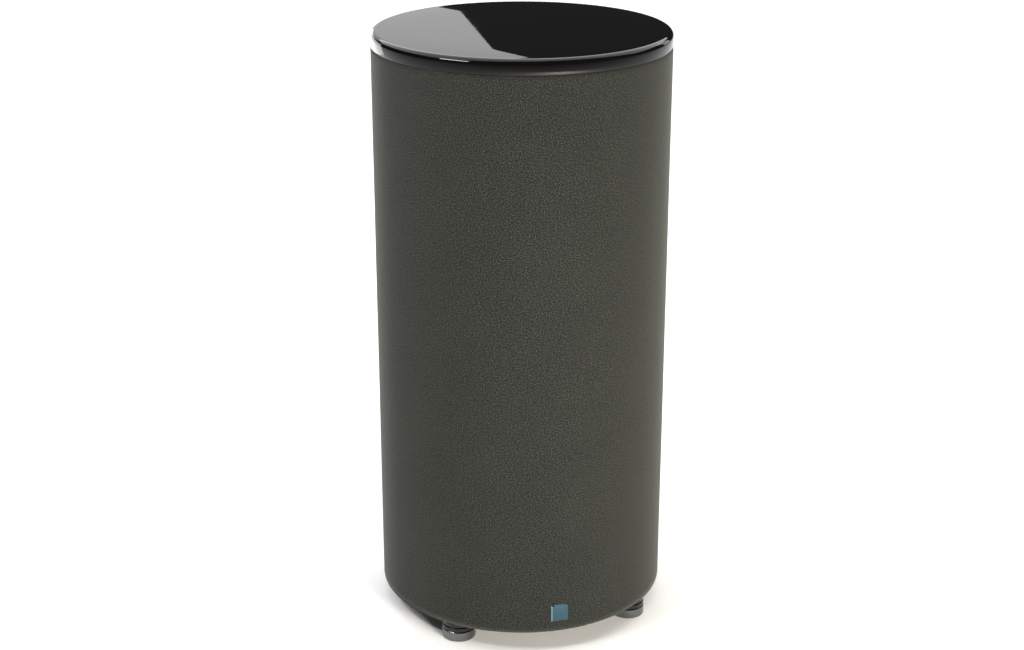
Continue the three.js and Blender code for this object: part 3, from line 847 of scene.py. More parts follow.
class StageSettings(bpy.types.PropertyGroup):
    distance: bpy.props.FloatProperty(
        name="Camera Distance",
        description="Level distance from the cabinet's axis to the camera",
        unit="LENGTH",
        default=2.528,
        min=1,
    )
    height: bpy.props.FloatProperty(
        name="Camera Height",
        description="Height of the camera above the floor",
        unit="LENGTH",
        default=1.362,
        min=0,
    )
    azimuth: bpy.props.FloatProperty(
        name="Camera Azimuth",
        description="Angle of the camera round the front",
        subtype="ANGLE",
        default=math.radians(-15.5),
    )
    floor_colour: bpy.props.FloatVectorProperty(
        name="Floor",
        description="Colour of the studio floor",
        subtype="COLOR",
        default=linear("#fafafa"),
        min=0,
        max=1,
    )


class SubwooferSettings(bpy.types.PropertyGroup):
    sleeve: bpy.props.PointerProperty(type=SleeveSettings)
    cap: bpy.props.PointerProperty(type=CapSettings)
    stage: bpy.props.PointerProperty(type=StageSettings)


# ---- Stage -------------------------------------------------------------------------------------


def aimed(made, place_at, target):
    """Puts a light or camera somewhere, looking at a point."""
    made.location = place_at
    made.rotation_euler = (Vector(target) - Vector(place_at)).to_track_quat("-Z", "Y").to_euler()
    bpy.context.scene.collection.objects.link(made)
    return made


def softbox(name, place_at, target, width, height, power, colour="#ffffff"):
    """A rectangular light that only its effect shows."""
    light = bpy.data.lights.new(name, "AREA")
    light.shape = "RECTANGLE"
    light.size = width
    light.size_y = height
    light.energy = power
    light.color = linear(colour)
    made = aimed(bpy.data.objects.new(name, light), place_at, target)
    made.visible_camera = False
    return made


class SUBWOOFER_OT_stage(bpy.types.Operator):
    """Makes the camera, the pale floor and the soft studio lights"""

    bl_idname = "subwoofer.stage"
    bl_label = "Stage"

    def execute(self, context):
        settings = context.scene.subwoofer.stage
        a = settings.azimuth
        back = Vector((math.sin(a), -math.cos(a), 0))
        side = Vector((math.cos(a), math.sin(a), 0))
        camera = bpy.data.cameras.new("camera")
        camera.lens = 64.36
        camera.sensor_width = 36
        eye = back * settings.distance + Vector((0, 0, settings.height))
        pitch, yaw = math.radians(20.33), math.radians(0.31)
        ahead = -back * math.cos(yaw) - side * math.sin(yaw)
        look = ahead * math.cos(pitch) - Vector((0, 0, math.sin(pitch)))
        context.scene.camera = aimed(bpy.data.objects.new("camera", camera), eye, eye + look)

        def at(right, away, up):
            """A place given as the camera sees it."""
            return side * right - back * away + Vector((0, 0, up))

        # a ceiling behind the cabinet, which whitens the floor
        softbox("overhead", at(0, 3.3, 3.6), at(0, 3.3, 0), 10.0, 8.2, 540)
        # a strip that draws a line of light along the cap's left edge
        softbox("top_left", at(-0.95, -0.75, 1.55), at(-0.1, 0, 0.8), 0.5, 0.16, 9)
        # a panel that lifts the cloth's right edge
        softbox("right_rim", at(1.9, 1.9, 1.4), at(0, 0, 0.6), 0.6, 1.4, 4)
        # a warm lamp on the lower front, kept out of the lacquer's reflections
        key = softbox("key", at(0.9, -1.6, 0.55), at(0, 0, 0.15), 0.5, 0.4, 48, "#fff9ec")
        key.visible_glossy = False
        # a panel that lifts the cloth's left edge
        softbox("left_wall", at(-1.45, 2.05, 0.62), at(0, 0, 0.6), 1.7, 1.2, 15)
        # a turned panel that the cap's top reflects on its left, with a slanting edge
        wall = softbox("back_wall", at(-0.925, 3.0, 2.08), at(-0.925, 0, 2.08), 2.0, 2.0, 13)
        wall.rotation_euler.rotate_axis("Z", math.radians(38.7))
        world = bpy.data.worlds.new("studio")
        world.use_nodes = True
        background = world.node_tree.nodes["Background"]
        background.inputs["Color"].default_value = rgba("#ffffff")
        background.inputs["Strength"].default_value = 0.03
        context.scene.world = world
        context.scene.view_settings.view_transform = "Standard"

        # matt paper: white, with hardly any sheen
        def floor_build(tree):
            paint = ramp(tree, grain(tree, 400, 2), [(0.0, "#f6f6f6"), (1.0, "#fcfcfc")])
            return {"Base Color": paint, "Roughness": 0.9, "Specular IOR Level": 0.1}

        finish = material("matt_paper_sweep", floor_build)
        half = 30
        corners = [(-half, -half, 0), (half, -half, 0), (half, half, 0), (-half, half, 0)]
        make("studio_floor", corners, [(0, 1, 2, 3)], finish)
        return {"FINISHED"}


# ---- Cabinet -----------------------------------------------------------------------------------


def on_round(x, z, r):
    """The point at x and z on the rear of a round wall of radius r, all in metres."""
    return Vector((x, math.sqrt(max(r * r - x * x, 0)), z))


class SUBWOOFER_OT_sleeve(bpy.types.Operator):
    """Knits the sleeve: one cloth round the tube, joined at the rear, open at the port and panel"""

    bl_idname = "subwoofer.sleeve"
    bl_label = "Knitted Sleeve"

    def execute(self, context):
        settings = context.scene.subwoofer.sleeve
        knit = melange_knit(settings)
        frame_low, frame_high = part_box("amp_frame")
        tuck = 3 * MM  # of cloth held under the panel frame, above and below
        z_under, z_over = frame_low.z + tuck, frame_high.z - tuck
        panel_half = 116 * MM  # the panel opening's half width, hidden under the frame
        hole = FLARE_LIP - 4 * MM  # the port opening's radius, hidden under the lip
        reach = 4.2 * MM  # points this near the port opening's edge move on to it
        band = 88 * MM  # closer rows run this far above and below the port's axis
        slack = 0.2 * MM  # how far the cloth wanders in and out
        stops = [
            (SLEEVE_LOW.z, z_under, 8),
            (z_under, z_over, 22),
            (z_over, PORT_Z - band, 18),
            (PORT_Z - band, PORT_Z + band, 36),
            (PORT_Z + band, SLEEVE_HIGH.z, 3),
        ]
        heights = [
            a + (b - a) * i / count for a, b, count in stops for i in range(count)
        ] + [SLEEVE_HIGH.z]
        count = settings.columns
        points = []
        for z in heights:
            for k in range(count):
                a = TAU * k / count
                r = SLEEVE_R - slack
                r += noise.noise((3 * math.sin(a), 3 * math.cos(a), z * 5)) * slack
                points.append(Vector((r * math.sin(a), r * math.cos(a), z)))

        def opening(p):
            if p.y < 0:
                return False
            behind_panel = abs(p.x) < panel_half and z_under < p.z < z_over
            return behind_panel or math.hypot(p.x, p.z - PORT_Z) < hole

        faces, uvs = [], []
        for i in range(len(heights) - 1):
            for k in range(count):
                q = (k + 1) % count
                corners = [(i, k), (i + 1, k), (i + 1, q), (i, q)]
                ids = [row * count + column for row, column in corners]
                centre = sum((points[j] for j in ids), Vector()) / 4
                if opening(centre):
                    continue
                faces.append(tuple(ids))
                for row, column in [(i, k), (i + 1, k), (i + 1, k + 1), (i, k + 1)]:
                    u = TAU * SLEEVE_R * column / count / UV_SPAN
                    uvs.append((u, heights[row] / UV_SPAN))
        # the port's hole is cut round
        for p in points:
            away = math.hypot(p.x, p.z - PORT_Z)
            if p.y > 0 and hole - reach < away < hole + reach:
                x, z = p.x * hole / away, PORT_Z + (p.z - PORT_Z) * hole / away
                p.xyz = on_round(x, z, math.hypot(p.x, p.y))
        mesh = bpy.data.meshes.new("sleeve")
        mesh.from_pydata(points, [], faces)
        layer = mesh.uv_layers.new(name="cloth")
        for loop, uv in zip(layer.data, uvs):
            loop.uv = uv
        mesh.shade_smooth()
        mesh.materials.append(knit)
        sleeve = walled(shown("sleeve", mesh), 0.9)
        rides(sleeve, "cabinet", "sleeve_knit", "fabric_sleeve")

        runs = [
            (SLEEVE_LOW.z + MM, frame_low.z - 0.5 * MM),
            (frame_high.z + 0.5 * MM, FLARE_LOW.z - 0.5 * MM),
            (FLARE_HIGH.z + 0.5 * MM, SLEEVE_HIGH.z - 0.5 * MM),
        ]
        seam = self.seam(runs)
        rides(seam, "cabinet", "sleeve_knit")
        stitches = self.stitches(runs)
        rides(stitches, "cabinet", "sleeve_knit")
        return {"FINISHED"}

    def seam(self, runs):
        """The low welt where the two edges of the cloth meet."""

        # the knit's edge yarns, pressed flat: dark, matt and a little furry
        def build(tree):
            fibres = grain(tree, 1.2, 6)
            return {
                "Base Color": ramp(tree, fibres, [(0.35, "#161715"), (0.7, "#333530")]),
                "Roughness": 0.95,
                "Sheen Weight": 0.2,
                "Normal": relief(tree, fibres, 0.3),
            }

        finish = material("seam_knit", build)
        half = 3 * MM
        parts = []
        for z0, z1 in runs:
            rows = max(2, int((z1 - z0) / (8 * MM)))
            loops = []
            for i in range(rows + 1):
                z = z0 + (z1 - z0) * i / rows
                section = []
                for k in range(9):
                    t = k / 8
                    # two folds side by side, with a groove between them
                    groove = 0.55 * math.exp(-(((t - 0.5) / 0.09) ** 2))
                    rise = math.sin(math.pi * t) * (1 - groove)
                    r = SLEEVE_R - 0.1 * MM + 0.9 * MM * rise
                    section.append(on_round((t - 0.5) * 2 * half, z, r))
                section += [on_round(x, z, SLEEVE_R - 0.6 * MM) for x in (half, -half)]
                loops.append(section[::-1])
            points, faces = loft(loops, closed=False)
            n = len(loops[0])
            faces += [tuple(range(n)), tuple(len(points) - 1 - k for k in range(n))]
            parts.append(make("seam", points, faces, finish, 60))
        return joined("sleeve_seam", parts)

    def stitches(self, runs):
        """Two rows of stitches beside the seam."""
        # spun polyester thread: dull, a shade apart from the cloth
        yarn = moulded("sewing_thread", "#252622", 0.7, size=0.3, depth=0.05)
        points, edges = [], []
        for z0, z1 in runs:
            for x in (-4.4 * MM, 4.4 * MM):
                start = len(points)
                points += [on_round(x, z, SLEEVE_R + 0.05 * MM) for z in (z0 + MM, z1 - MM)]
                edges.append((start, start + 1))
        return grown(
            "sleeve_stitches",
            stitch_tree(),
            points,
            edges,
            Pitch=4.5 * MM,
            Size=(0.5 * MM, 0.5 * MM, 3.2 * MM),
            Material=yarn,
        )


class SUBWOOFER_OT_cap(bpy.types.Operator):
    """Turns the lacquered cap with its rounded edge"""

    bl_idname = "subwoofer.cap"
    bl_label = "Lacquered Cap"

    def execute(self, context):
        edge = context.scene.subwoofer.cap.edge / MM
        r, top = CAP_HIGH.x / MM, CAP_HIGH.z / MM
        under = SLEEVE_HIGH.z / MM + 0.3
        crown, flat = 0.5, 150
        fall = []
        for i in range(11):
            t = 1 - i / 10
            fall.append((flat + t * (r - edge - flat - 0.5), top - crown * t * t))
        profile = [
            (0, CAP_LOW.z / MM),
            (197.6, CAP_LOW.z / MM),
            (197.6, under),
            (r - 2.0, under),
            (r - 0.6, under + 0.5),
            (r, under + 2.0),
            *arc(r - edge, top - crown - edge, edge, 0, 89, 10),
            *fall,
            (0, top),
        ]
        cap = turned("cap", profile, black_lacquer(), steps=192, ease=0)
        rides(cap, "cabinet", "cap_lacquer", "top_cap")
        return {"FINISHED"}


class SUBWOOFER_OT_badge(bpy.types.Operator):
    """Makes the blank square badge with bevelled edges"""

    bl_idname = "subwoofer.badge"
    bl_label = "Badge"

    def execute(self, context):
        low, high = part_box("badge")
        z = (low.z + high.z) / 2
        half = (high.x - low.x) / 2
        face = low.y
        bevel = 1.3 * MM
        # anodised aluminium, brushed level: blue-grey, with a soft sideways sheen
        finish = metal("blue_anodised_badge", "#4b6672", 0.25, (1, 1, 12), 1.5, 0.004)
        # the cut edge: smoother, and paler than the face as a painted highlight, so that it shows
        # as a thin bright line
        edge = metal("diamond_cut_badge_edge_painted_highlight", "#8fb4be", 0.16, size=1.5, depth=0.002)

        def ring(h, corner, y):
            return [
                Vector((u, y if y is not None else -on_round(u, 0, TRIM_IN).y, z + v))
                for u, v in rounded_loop(h, h, corner, 6, 4)
            ]

        loops = [
            [Vector((0, -TRIM_IN, z))],
            ring(half - 0.3 * MM, 0.8 * MM, None),
            ring(half, 0.8 * MM, face + 2.0 * MM),
            ring(half, 0.8 * MM, face + 1.85 * MM),
            ring(half - bevel, 0.5 * MM, face + 0.1 * MM),
            ring(half - bevel - 0.3 * MM, 0.4 * MM, face),
            [Vector((0, face, z))],
        ]
        points, faces = loft(loops, closed=False)
        made = make("badge_plate", points, [f[::-1] for f in faces], finish, 20)
        made.data.materials.append(edge)
        # the sloping bevel faces take the paler edge finish: a painted highlight
        for polygon in made.data.polygons:
            sloping = 0.3 < abs(polygon.normal.y) < 0.9
            polygon.material_index = 1 if sloping else 0
        rides(made, "cabinet", "badge_metal", "badge")
        return {"FINISHED"}


class SUBWOOFER_OT_carcass(bpy.types.Operator):
    """Finishes the tube, the boards and the felt lining"""

    bl_idname = "subwoofer.carcass"
    bl_label = "Tube, Boards and Lining"

    def execute(self, context):
        dress(wound_fibreboard(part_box("cabinet_tube")[0].z), "cabinet_tube")
        # bare medium-density fibreboard: pale brown and dry
        sawn = board("sawn_fibreboard", "#8f7350", "#b89a70", 0.85)
        dress(sawn, "top_board", "upper_brace", "lower_brace")
        # the same board stained black, so that the underside stays dark
        dress(board("stained_fibreboard", "#0d0d0d", "#1c1b1a", 0.7), "driver_baffle", "base_ring")
        rides(self.lining(), "cabinet", "lining_felt", "wall_lining")
        return {"FINISHED"}

    def lining(self):
        """Felt round the lower chamber, lumpy on its inner face and open at the rear."""
        low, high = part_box("wall_lining")
        outer, inner = 195.2 * MM, 175 * MM
        # leaves the rear open for the amplifier
        start, end = math.radians(145.6), math.radians(394.4)
        columns, rows, depth = 150, 40, 3
        loops = []
        for k in range(columns + 1):
            a = start + (end - start) * k / columns
            section = []

            def spot(r, z):
                lump = noise.noise((r * 8 * math.cos(a), r * 8 * math.sin(a), z * 9)) * 2.2 * MM
                r = r + max(0, lump) if r == inner else r
                section.append(Vector((r * math.cos(a), r * math.sin(a), z)))

            z0, z1 = low.z + 0.3 * MM, high.z - 0.3 * MM
            for i in range(rows):
                spot(inner, z0 + (z1 - z0) * i / rows)
            for i in range(depth):
                spot(inner + (outer - inner) * (i / depth) + 1e-9, z1)
            for i in range(rows):
                spot(outer, z1 - (z1 - z0) * i / rows)
            for i in range(depth):
                spot(outer - (outer - inner) * (i / depth) + 1e-9, z0)
            loops.append(section)
        points, faces = loft(loops, closed=False)
        n = len(loops[0])
        faces += [tuple(range(n)), tuple(len(points) - 1 - k for k in range(n))]
        made = make("lining", points, faces, felt(), 60)
        return made


# ---- Port --------------------------------------------------------------------------------------


class SUBWOOFER_OT_port(bpy.types.Operator):
    """Makes the flared rear port, its elbow and its pipes"""

    bl_idname = "subwoofer.port"
    bl_label = "Port"

    def execute(self, context):
        # textured ABS: satin enough to show the bell's curve
        plastic = moulded("port_abs", "#151516", 0.42, size=0.7, depth=0.04)
        rides(self.flare(plastic), "cabinet", "port_plastic", "port_flare")
        rides(self.elbow(plastic), "cabinet", "port_plastic", "port_elbow")
        low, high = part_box("port_level_pipe")
        level = turned(
            "level_pipe",
            [(50, low.y / MM), (54, low.y / MM), (54, high.y / MM), (50, high.y / MM)],
            plastic,
            at=(0, 0, PORT_Z),
            axis="Y",
        )
        rides(level, "cabinet", "port_plastic", "port_level_pipe")
        low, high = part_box("port_upright_pipe")
        y = (low.y + high.y) / 2
        upright = turned(
            "upright_pipe",
            [(50, low.z / MM), (54, low.z / MM), (54, high.z / MM), (50, high.z / MM)],
            plastic,
            at=(0, y, 0),
        )
        rides(upright, "cabinet", "port_plastic", "port_upright_pipe")
        low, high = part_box("port_inner_flare")
        z, top = low.z / MM, high.z / MM
        profile = [
            *arc(70, z + 20, 20, 180, 270, 10),
            (73, z),
            (73, z + 3),
            (58, z + 22),
            (58, top),
            (54.3, top),
            (54.3, top - 12),
            (50, top - 12),
        ]
        inner = turned("inner_flare", profile, plastic, at=(0, y, 0), ease=0.3)
        rides(inner, "cabinet", "port_plastic", "port_inner_flare")
        return {"FINISHED"}

    def flare(self, plastic):
        """A bell that opens smoothly into a lip that hugs the round cabinet."""
        inside, start = 50 * MM, FLARE_LOW.y
        mouth, lip = 72 * MM, FLARE_LIP
        wall, step = 4 * MM, 20 * MM
        bell_from = start + 22 * MM
        count = 96

        def ring(r, depth):
            """depth(x) is the place along the port's axis."""
            points = []
            for k in range(count):
                a = TAU * k / count
                x = r * math.cos(a)
                points.append(Vector((x, depth(x), PORT_Z + r * math.sin(a))))
            return points

        def flat(y):
            return lambda x: y

        def hugging(r):
            return lambda x: on_round(x, 0, r).y

        def opening_out(share):
            return lambda x: bell_from + (on_round(x, 0, TRIM_R).y - bell_from) * share

        loops = [ring(inside, flat(start))]
        for i in range(15):
            t = i / 14 * math.pi / 2
            r = inside + (mouth - inside) * (1 - math.cos(t))
            loops.append(ring(r, opening_out(math.sin(t))))
        loops += [
            ring(mouth + 3 * MM, hugging(TRIM_R)),
            ring(lip - 1.2 * MM, hugging(TRIM_R)),
            ring(lip - 0.4 * MM, hugging(TRIM_R - 0.25 * MM)),
            ring(lip, hugging(TRIM_R - 0.8 * MM)),
            ring(lip, hugging(TRIM_IN)),
            ring(75 * MM, hugging(TRIM_IN)),
            ring(75 * MM, hugging(SLEEVE_R - 13 * MM)),
            ring(inside + wall, flat(start + step)),
            ring(inside + wall, flat(start)),
        ]
        points, faces = loft(loops)
        return make("flare", points, [f[::-1] for f in faces], plastic, 32)

    def elbow(self, plastic):
        """A quarter bend with a socket at each end."""
        upright_y = middle("port_upright_pipe").y
        bend, socket = 75 * MM, 16 * MM
        corner = Vector((0, upright_y + bend, PORT_Z - bend))
        count, steps = 64, 20

        def ring(r, angle, beyond=0.0):
            """A circle across the bend. beyond runs straight on past either end."""
            a = math.radians(angle)
            out = Vector((0, -math.sin(a), math.cos(a)))
            along = Vector((0, math.cos(a), math.sin(a)))
            centre = corner + out * bend + along * beyond
            turns = [TAU * k / count for k in range(count)]
            across = Vector((1, 0, 0))
            return [centre + (out * math.sin(b) + across * math.cos(b)) * r for b in turns]

        bore, wall, seat = 50 * MM, 58 * MM, 54.2 * MM
        angles = [90 * i / steps for i in range(steps + 1)]
        loops = [ring(seat, 0, socket), ring(seat, 0)]
        loops += [ring(bore, a) for a in angles]
        loops += [ring(seat, 90), ring(seat, 90, -socket), ring(wall, 90, -socket)]
        loops += [ring(wall, a) for a in reversed(angles)]
        loops += [ring(wall, 0, socket)]
        points, faces = loft(loops)
        return make("elbow", points, faces, plastic, 40)


# ---- Driver ------------------------------------------------------------------------------------


def bends(made):
    """Makes a ring's placement part of its mesh."""
    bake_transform(made)
    return made


class SUBWOOFER_OT_driver(bpy.types.Operator):
    """Makes the down-firing driver, from its surround back to its magnet"""

    bl_idname = "subwoofer.driver"
    bl_label = "Driver"

    def execute(self, context):
        self.basket()
        self.moving_parts()
        self.motor()
        # ABS as it leaves the mould: plain satin black
        dress(moulded("terminal_abs", "#161616", 0.5), "driver_terminal")
        return {"FINISHED"}

    def basket(self):
        # cast aluminium under powder coat: near black, with a fine orange-peel
        cast = metal("powder_coated_casting", "#1c1c1e", 0.55, size=0.9, depth=0.05, metallic=0.3)
        flange = turned(
            "basket_flange",
            [(128, -8), (154, -8), (154, -0.3), (128, -0.3)],
            cast,
            steps=144,
            at=(0, 0, BAFFLE_Z),
            ease=1.0,
        )
        steps = 144
        wall = [(138, -0.3), (137, 14), (133, 18), (101, 57), (90, 74), (90, 87.5)]
        sloping = 2  # the band of the wall that has the six windows
        foot = Vector((0, 0, BAFFLE_Z))
        points, faces = [], []
        for r, z in wall:
            for k in range(steps):
                a = TAU * k / steps
                points.append(Vector((r * math.cos(a), r * math.sin(a), z)) * MM + foot)
        for i in range(len(wall) - 1):
            for k in range(steps):
                across = (360 * (k + 0.5) / steps - 30) % 60
                in_window = min(across, 60 - across) < 20
                if i == sloping and in_window:
                    continue
                q = (k + 1) % steps
                below, above = i * steps, (i + 1) * steps
                faces.append((below + k, below + q, above + q, above + k))
        arms = walled(make("basket_arms", points, faces, cast, 30), 5)
        ledge = turned(
            "spider_ledge", [(74, 61), (86, 61), (86, 64), (74, 64)], cast, at=(0, 0, BAFFLE_Z)
        )
        seat = turned(
            "motor_seat", [(62, 81), (86, 80), (86, 87.5), (62, 87.5)], cast, at=(0, 0, BAFFLE_Z)
        )
        for part in (flange, arms, ledge, seat):
            rides(part, "cabinet", "basket", "driver_frame")
        # oil-blacked steel: darker than the panel's zinc, with a low shine
        steel = metal("black_oxide_steel", "#2a2a2b", 0.35, size=0.6)
        spots = []
        circle, z = 148.5 * MM, BAFFLE_Z - 8 * MM
        for k in range(8):
            a = math.radians(22.5 + 45 * k)
            spots.append(Vector((circle * math.cos(a), circle * math.sin(a), z)))
        screws = grown(
            "basket_screws",
            screw_tree(),
            spots,
            [],
            **{
                "Head Radius": 4 * MM,
                "Head Height": 3 * MM,
                "Socket Radius": 2 * MM,
                "Facing": (0, 0, -1),
                "Material": steel,
            },
        )
        rides(screws, "cabinet", "basket")

    def moving_parts(self):
        # moulded butyl: a soft grey sheen that shows the roll's curve
        rubber = moulded("butyl_rubber", "#18181a", 0.55, size=0.6, depth=0.02)
        at = (0, 0, BAFFLE_Z)
        z, t = -8.3, 1.2
        roll = turned(
            "surround_roll",
            [
                (105, z),
                (105, z - t),
                *arc(124, z - t, 12, 180, 360, 16),
                (142, z - t),
                (142, z),
                *arc(124, z - t, 12 - t, 360, 180, 16),
            ],
            rubber,
            steps=144,
            at=at,
            ease=0,
            crease=50,
        )
        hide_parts("surround")
        bends(roll)
        pulp = pulp_cone()
        cone = turned(
            "paper_cone",
            [
                (34, 46),
                (34, 50),
                (36.5, 50),
                (60, 30.2),
                (84, 11.4),
                (106, -4.7),
                (112, -5.7),
                (112, -7.7),
                (104, -7.7),
                (84, 7.9),
                (60, 26.3),
            ],
            pulp,
            steps=144,
            at=at,
        )
        rides(cone, "cone_assembly", "cone_paper", "cone")
        rim, rim_z, dome = 47, 35.6, 62
        centre = rim_z + math.sqrt(dome**2 - rim**2)
        half = math.degrees(math.asin(rim / dome))
        outside = arc(0, centre, dome, 270, 270 + half, 14)
        inside = arc(0, centre, dome - 1.5, 270 + half, 270, 14)
        cap = turned(
            "dome",
            [(0, outside[0][1]), *outside[1:], *inside[:-1], (0, inside[-1][1])],
            pulp,
            at=at,
            ease=0,
        )
        rides(cap, "cone_assembly", "cone_paper", "dust_cap")
        # polyimide film: smooth, amber and glossy
        film = moulded("polyimide_film", "#a8692a", 0.3, size=2, depth=0.01)
        former = turned("former", [(32.4, 42), (33.6, 42), (33.6, 112), (32.4, 112)], film, at=at)
        rides(former, "cone_assembly", "former", "coil_former")
        # enamelled copper: fine, bright rings
        wire = winding("enamelled_wire", "#7a3d1d", "#c8794a", 0.5)
        coil = turned("coil", [(33.9, 74), (35.4, 74), (35.4, 110), (33.9, 110)], wire, at=at)
        rides(coil, "cone_assembly", "winding", "voice_coil")
        # cotton dipped in resin: stiff, honey-brown and visibly woven
        cotton = woven("resin_dipped_cotton", "#7d5a28", "#c9a15c", 1.2)
        steps = 60
        wave = [
            (33.9 + 41.1 * i / steps, 64.3 + 2.4 * math.sin(TAU * 2.5 * i / steps))
            for i in range(steps + 1)
        ] + [(83, 64.3)]
        sheet = turned(
            "corrugated_spider",
            [(r, z + 1) for r, z in wave] + wave[::-1],
            cotton,
            at=at,
            ease=0,
            crease=60,
        )
        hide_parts("spider")
        bends(sheet)

    def motor(self):
        at = (0, 0, BAFFLE_Z)
        # bright zinc over machined steel: grey, with a cloudy shine
        zinc = metal("zinc_plated_steel", "#a3a5a6", 0.32, size=1.2)
        plate = turned("front_plate", [(36.6, 88), (76, 88), (76, 96), (36.6, 96)], zinc, at=at)
        rides(plate, "cabinet", "motor_steel", "top_plate")
        yoke = turned(
            "back_plate",
            [(10, 88), (31.2, 88), (31.2, 132), (78, 132), (78, 142), (10, 142)],
            zinc,
            at=at,
        )
        rides(yoke, "cabinet", "motor_steel", "pole_yoke")
        # pressed and ground ferrite: charcoal and quite dull
        pressed = board("pressed_ferrite", "#232325", "#3a3a3d", 0.8, 1.0)
        magnet = turned(
            "magnet", [(44, 96.3), (84, 96.3), (84, 131.7), (44, 131.7)], pressed, at=at, ease=1.5
        )
        rides(magnet, "cabinet", "ferrite", "magnet_ring")
        # moulded rubber: matt black
        rubber = moulded("boot_rubber", "#1a1a1a", 0.7, size=0.8, depth=0.05)
        shell = [(84.3, 98), (88, 98), (88, 142.3), (84, 145.3)]
        shell += [(30, 145.3), (30, 142.3), (84.3, 142.3)]
        boot = turned("boot", shell, rubber, at=at, ease=1.0)
        rides(boot, "cabinet", "boot_rubber", "magnet_boot")


# ---- Amplifier ---------------------------------------------------------------------------------

PANEL_Y = PANEL_HIGH.y


class SUBWOOFER_OT_amp_frame(bpy.types.Operator):
    """Makes the moulded frame that recesses the amplifier panel in the round wall"""

    bl_idname = "subwoofer.amp_frame"
    bl_label = "Amplifier Frame"

    def execute(self, context):
        low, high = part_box("amp_frame")
        z = (low.z + high.z) / 2
        half_w, half_h = (high.x - low.x) / 2, (high.z - low.z) / 2
        lip, rim, seat_w = 6 * MM, 9 * MM, 10 * MM
        pocket_w, pocket_h = half_w - lip - rim, half_h - lip - rim
        seat_y = low.y + 6 * MM

        def ring(inset, corner, y=None, r=None):
            w, h = half_w - inset, half_h - inset
            return [
                Vector((u, y if y is not None else on_round(u, 0, r).y, z + v))
                for u, v in rounded_loop(w, h, corner, 30, 5)
            ]

        deep = half_w - pocket_w
        loops = [
            ring(0, 3 * MM, r=TRIM_IN),
            ring(0, 3 * MM, r=TRIM_R - 0.7 * MM),
            ring(0.3 * MM, 3 * MM, r=TRIM_R - 0.2 * MM),
            ring(1.0 * MM, 2.6 * MM, r=TRIM_R),
            ring(deep - 1.6 * MM, 1.6 * MM, r=TRIM_R),
            ring(deep - 0.5 * MM, 1.2 * MM, r=TRIM_R - 0.5 * MM),
            ring(deep, 1.0 * MM, r=TRIM_R - 1.6 * MM),
            ring(deep, 1.0 * MM, y=seat_y),
            ring(deep + seat_w, 1.0 * MM, y=seat_y),
            ring(deep + seat_w, 1.0 * MM, y=low.y),
            ring(lip, 1.0 * MM, y=low.y),
            ring(lip, 1.0 * MM, r=TRIM_IN),
        ]
        points, faces = loft(loops)
        # spark-eroded ABS: matt, a shade apart from the cloth
        plastic = moulded("frame_abs", "#141415", 0.48, size=0.6, depth=0.05)
        made = make("panel_frame", points, faces, plastic, 32)
        rides(made, "cabinet", "frame_plastic", "amp_frame")
        return {"FINISHED"}


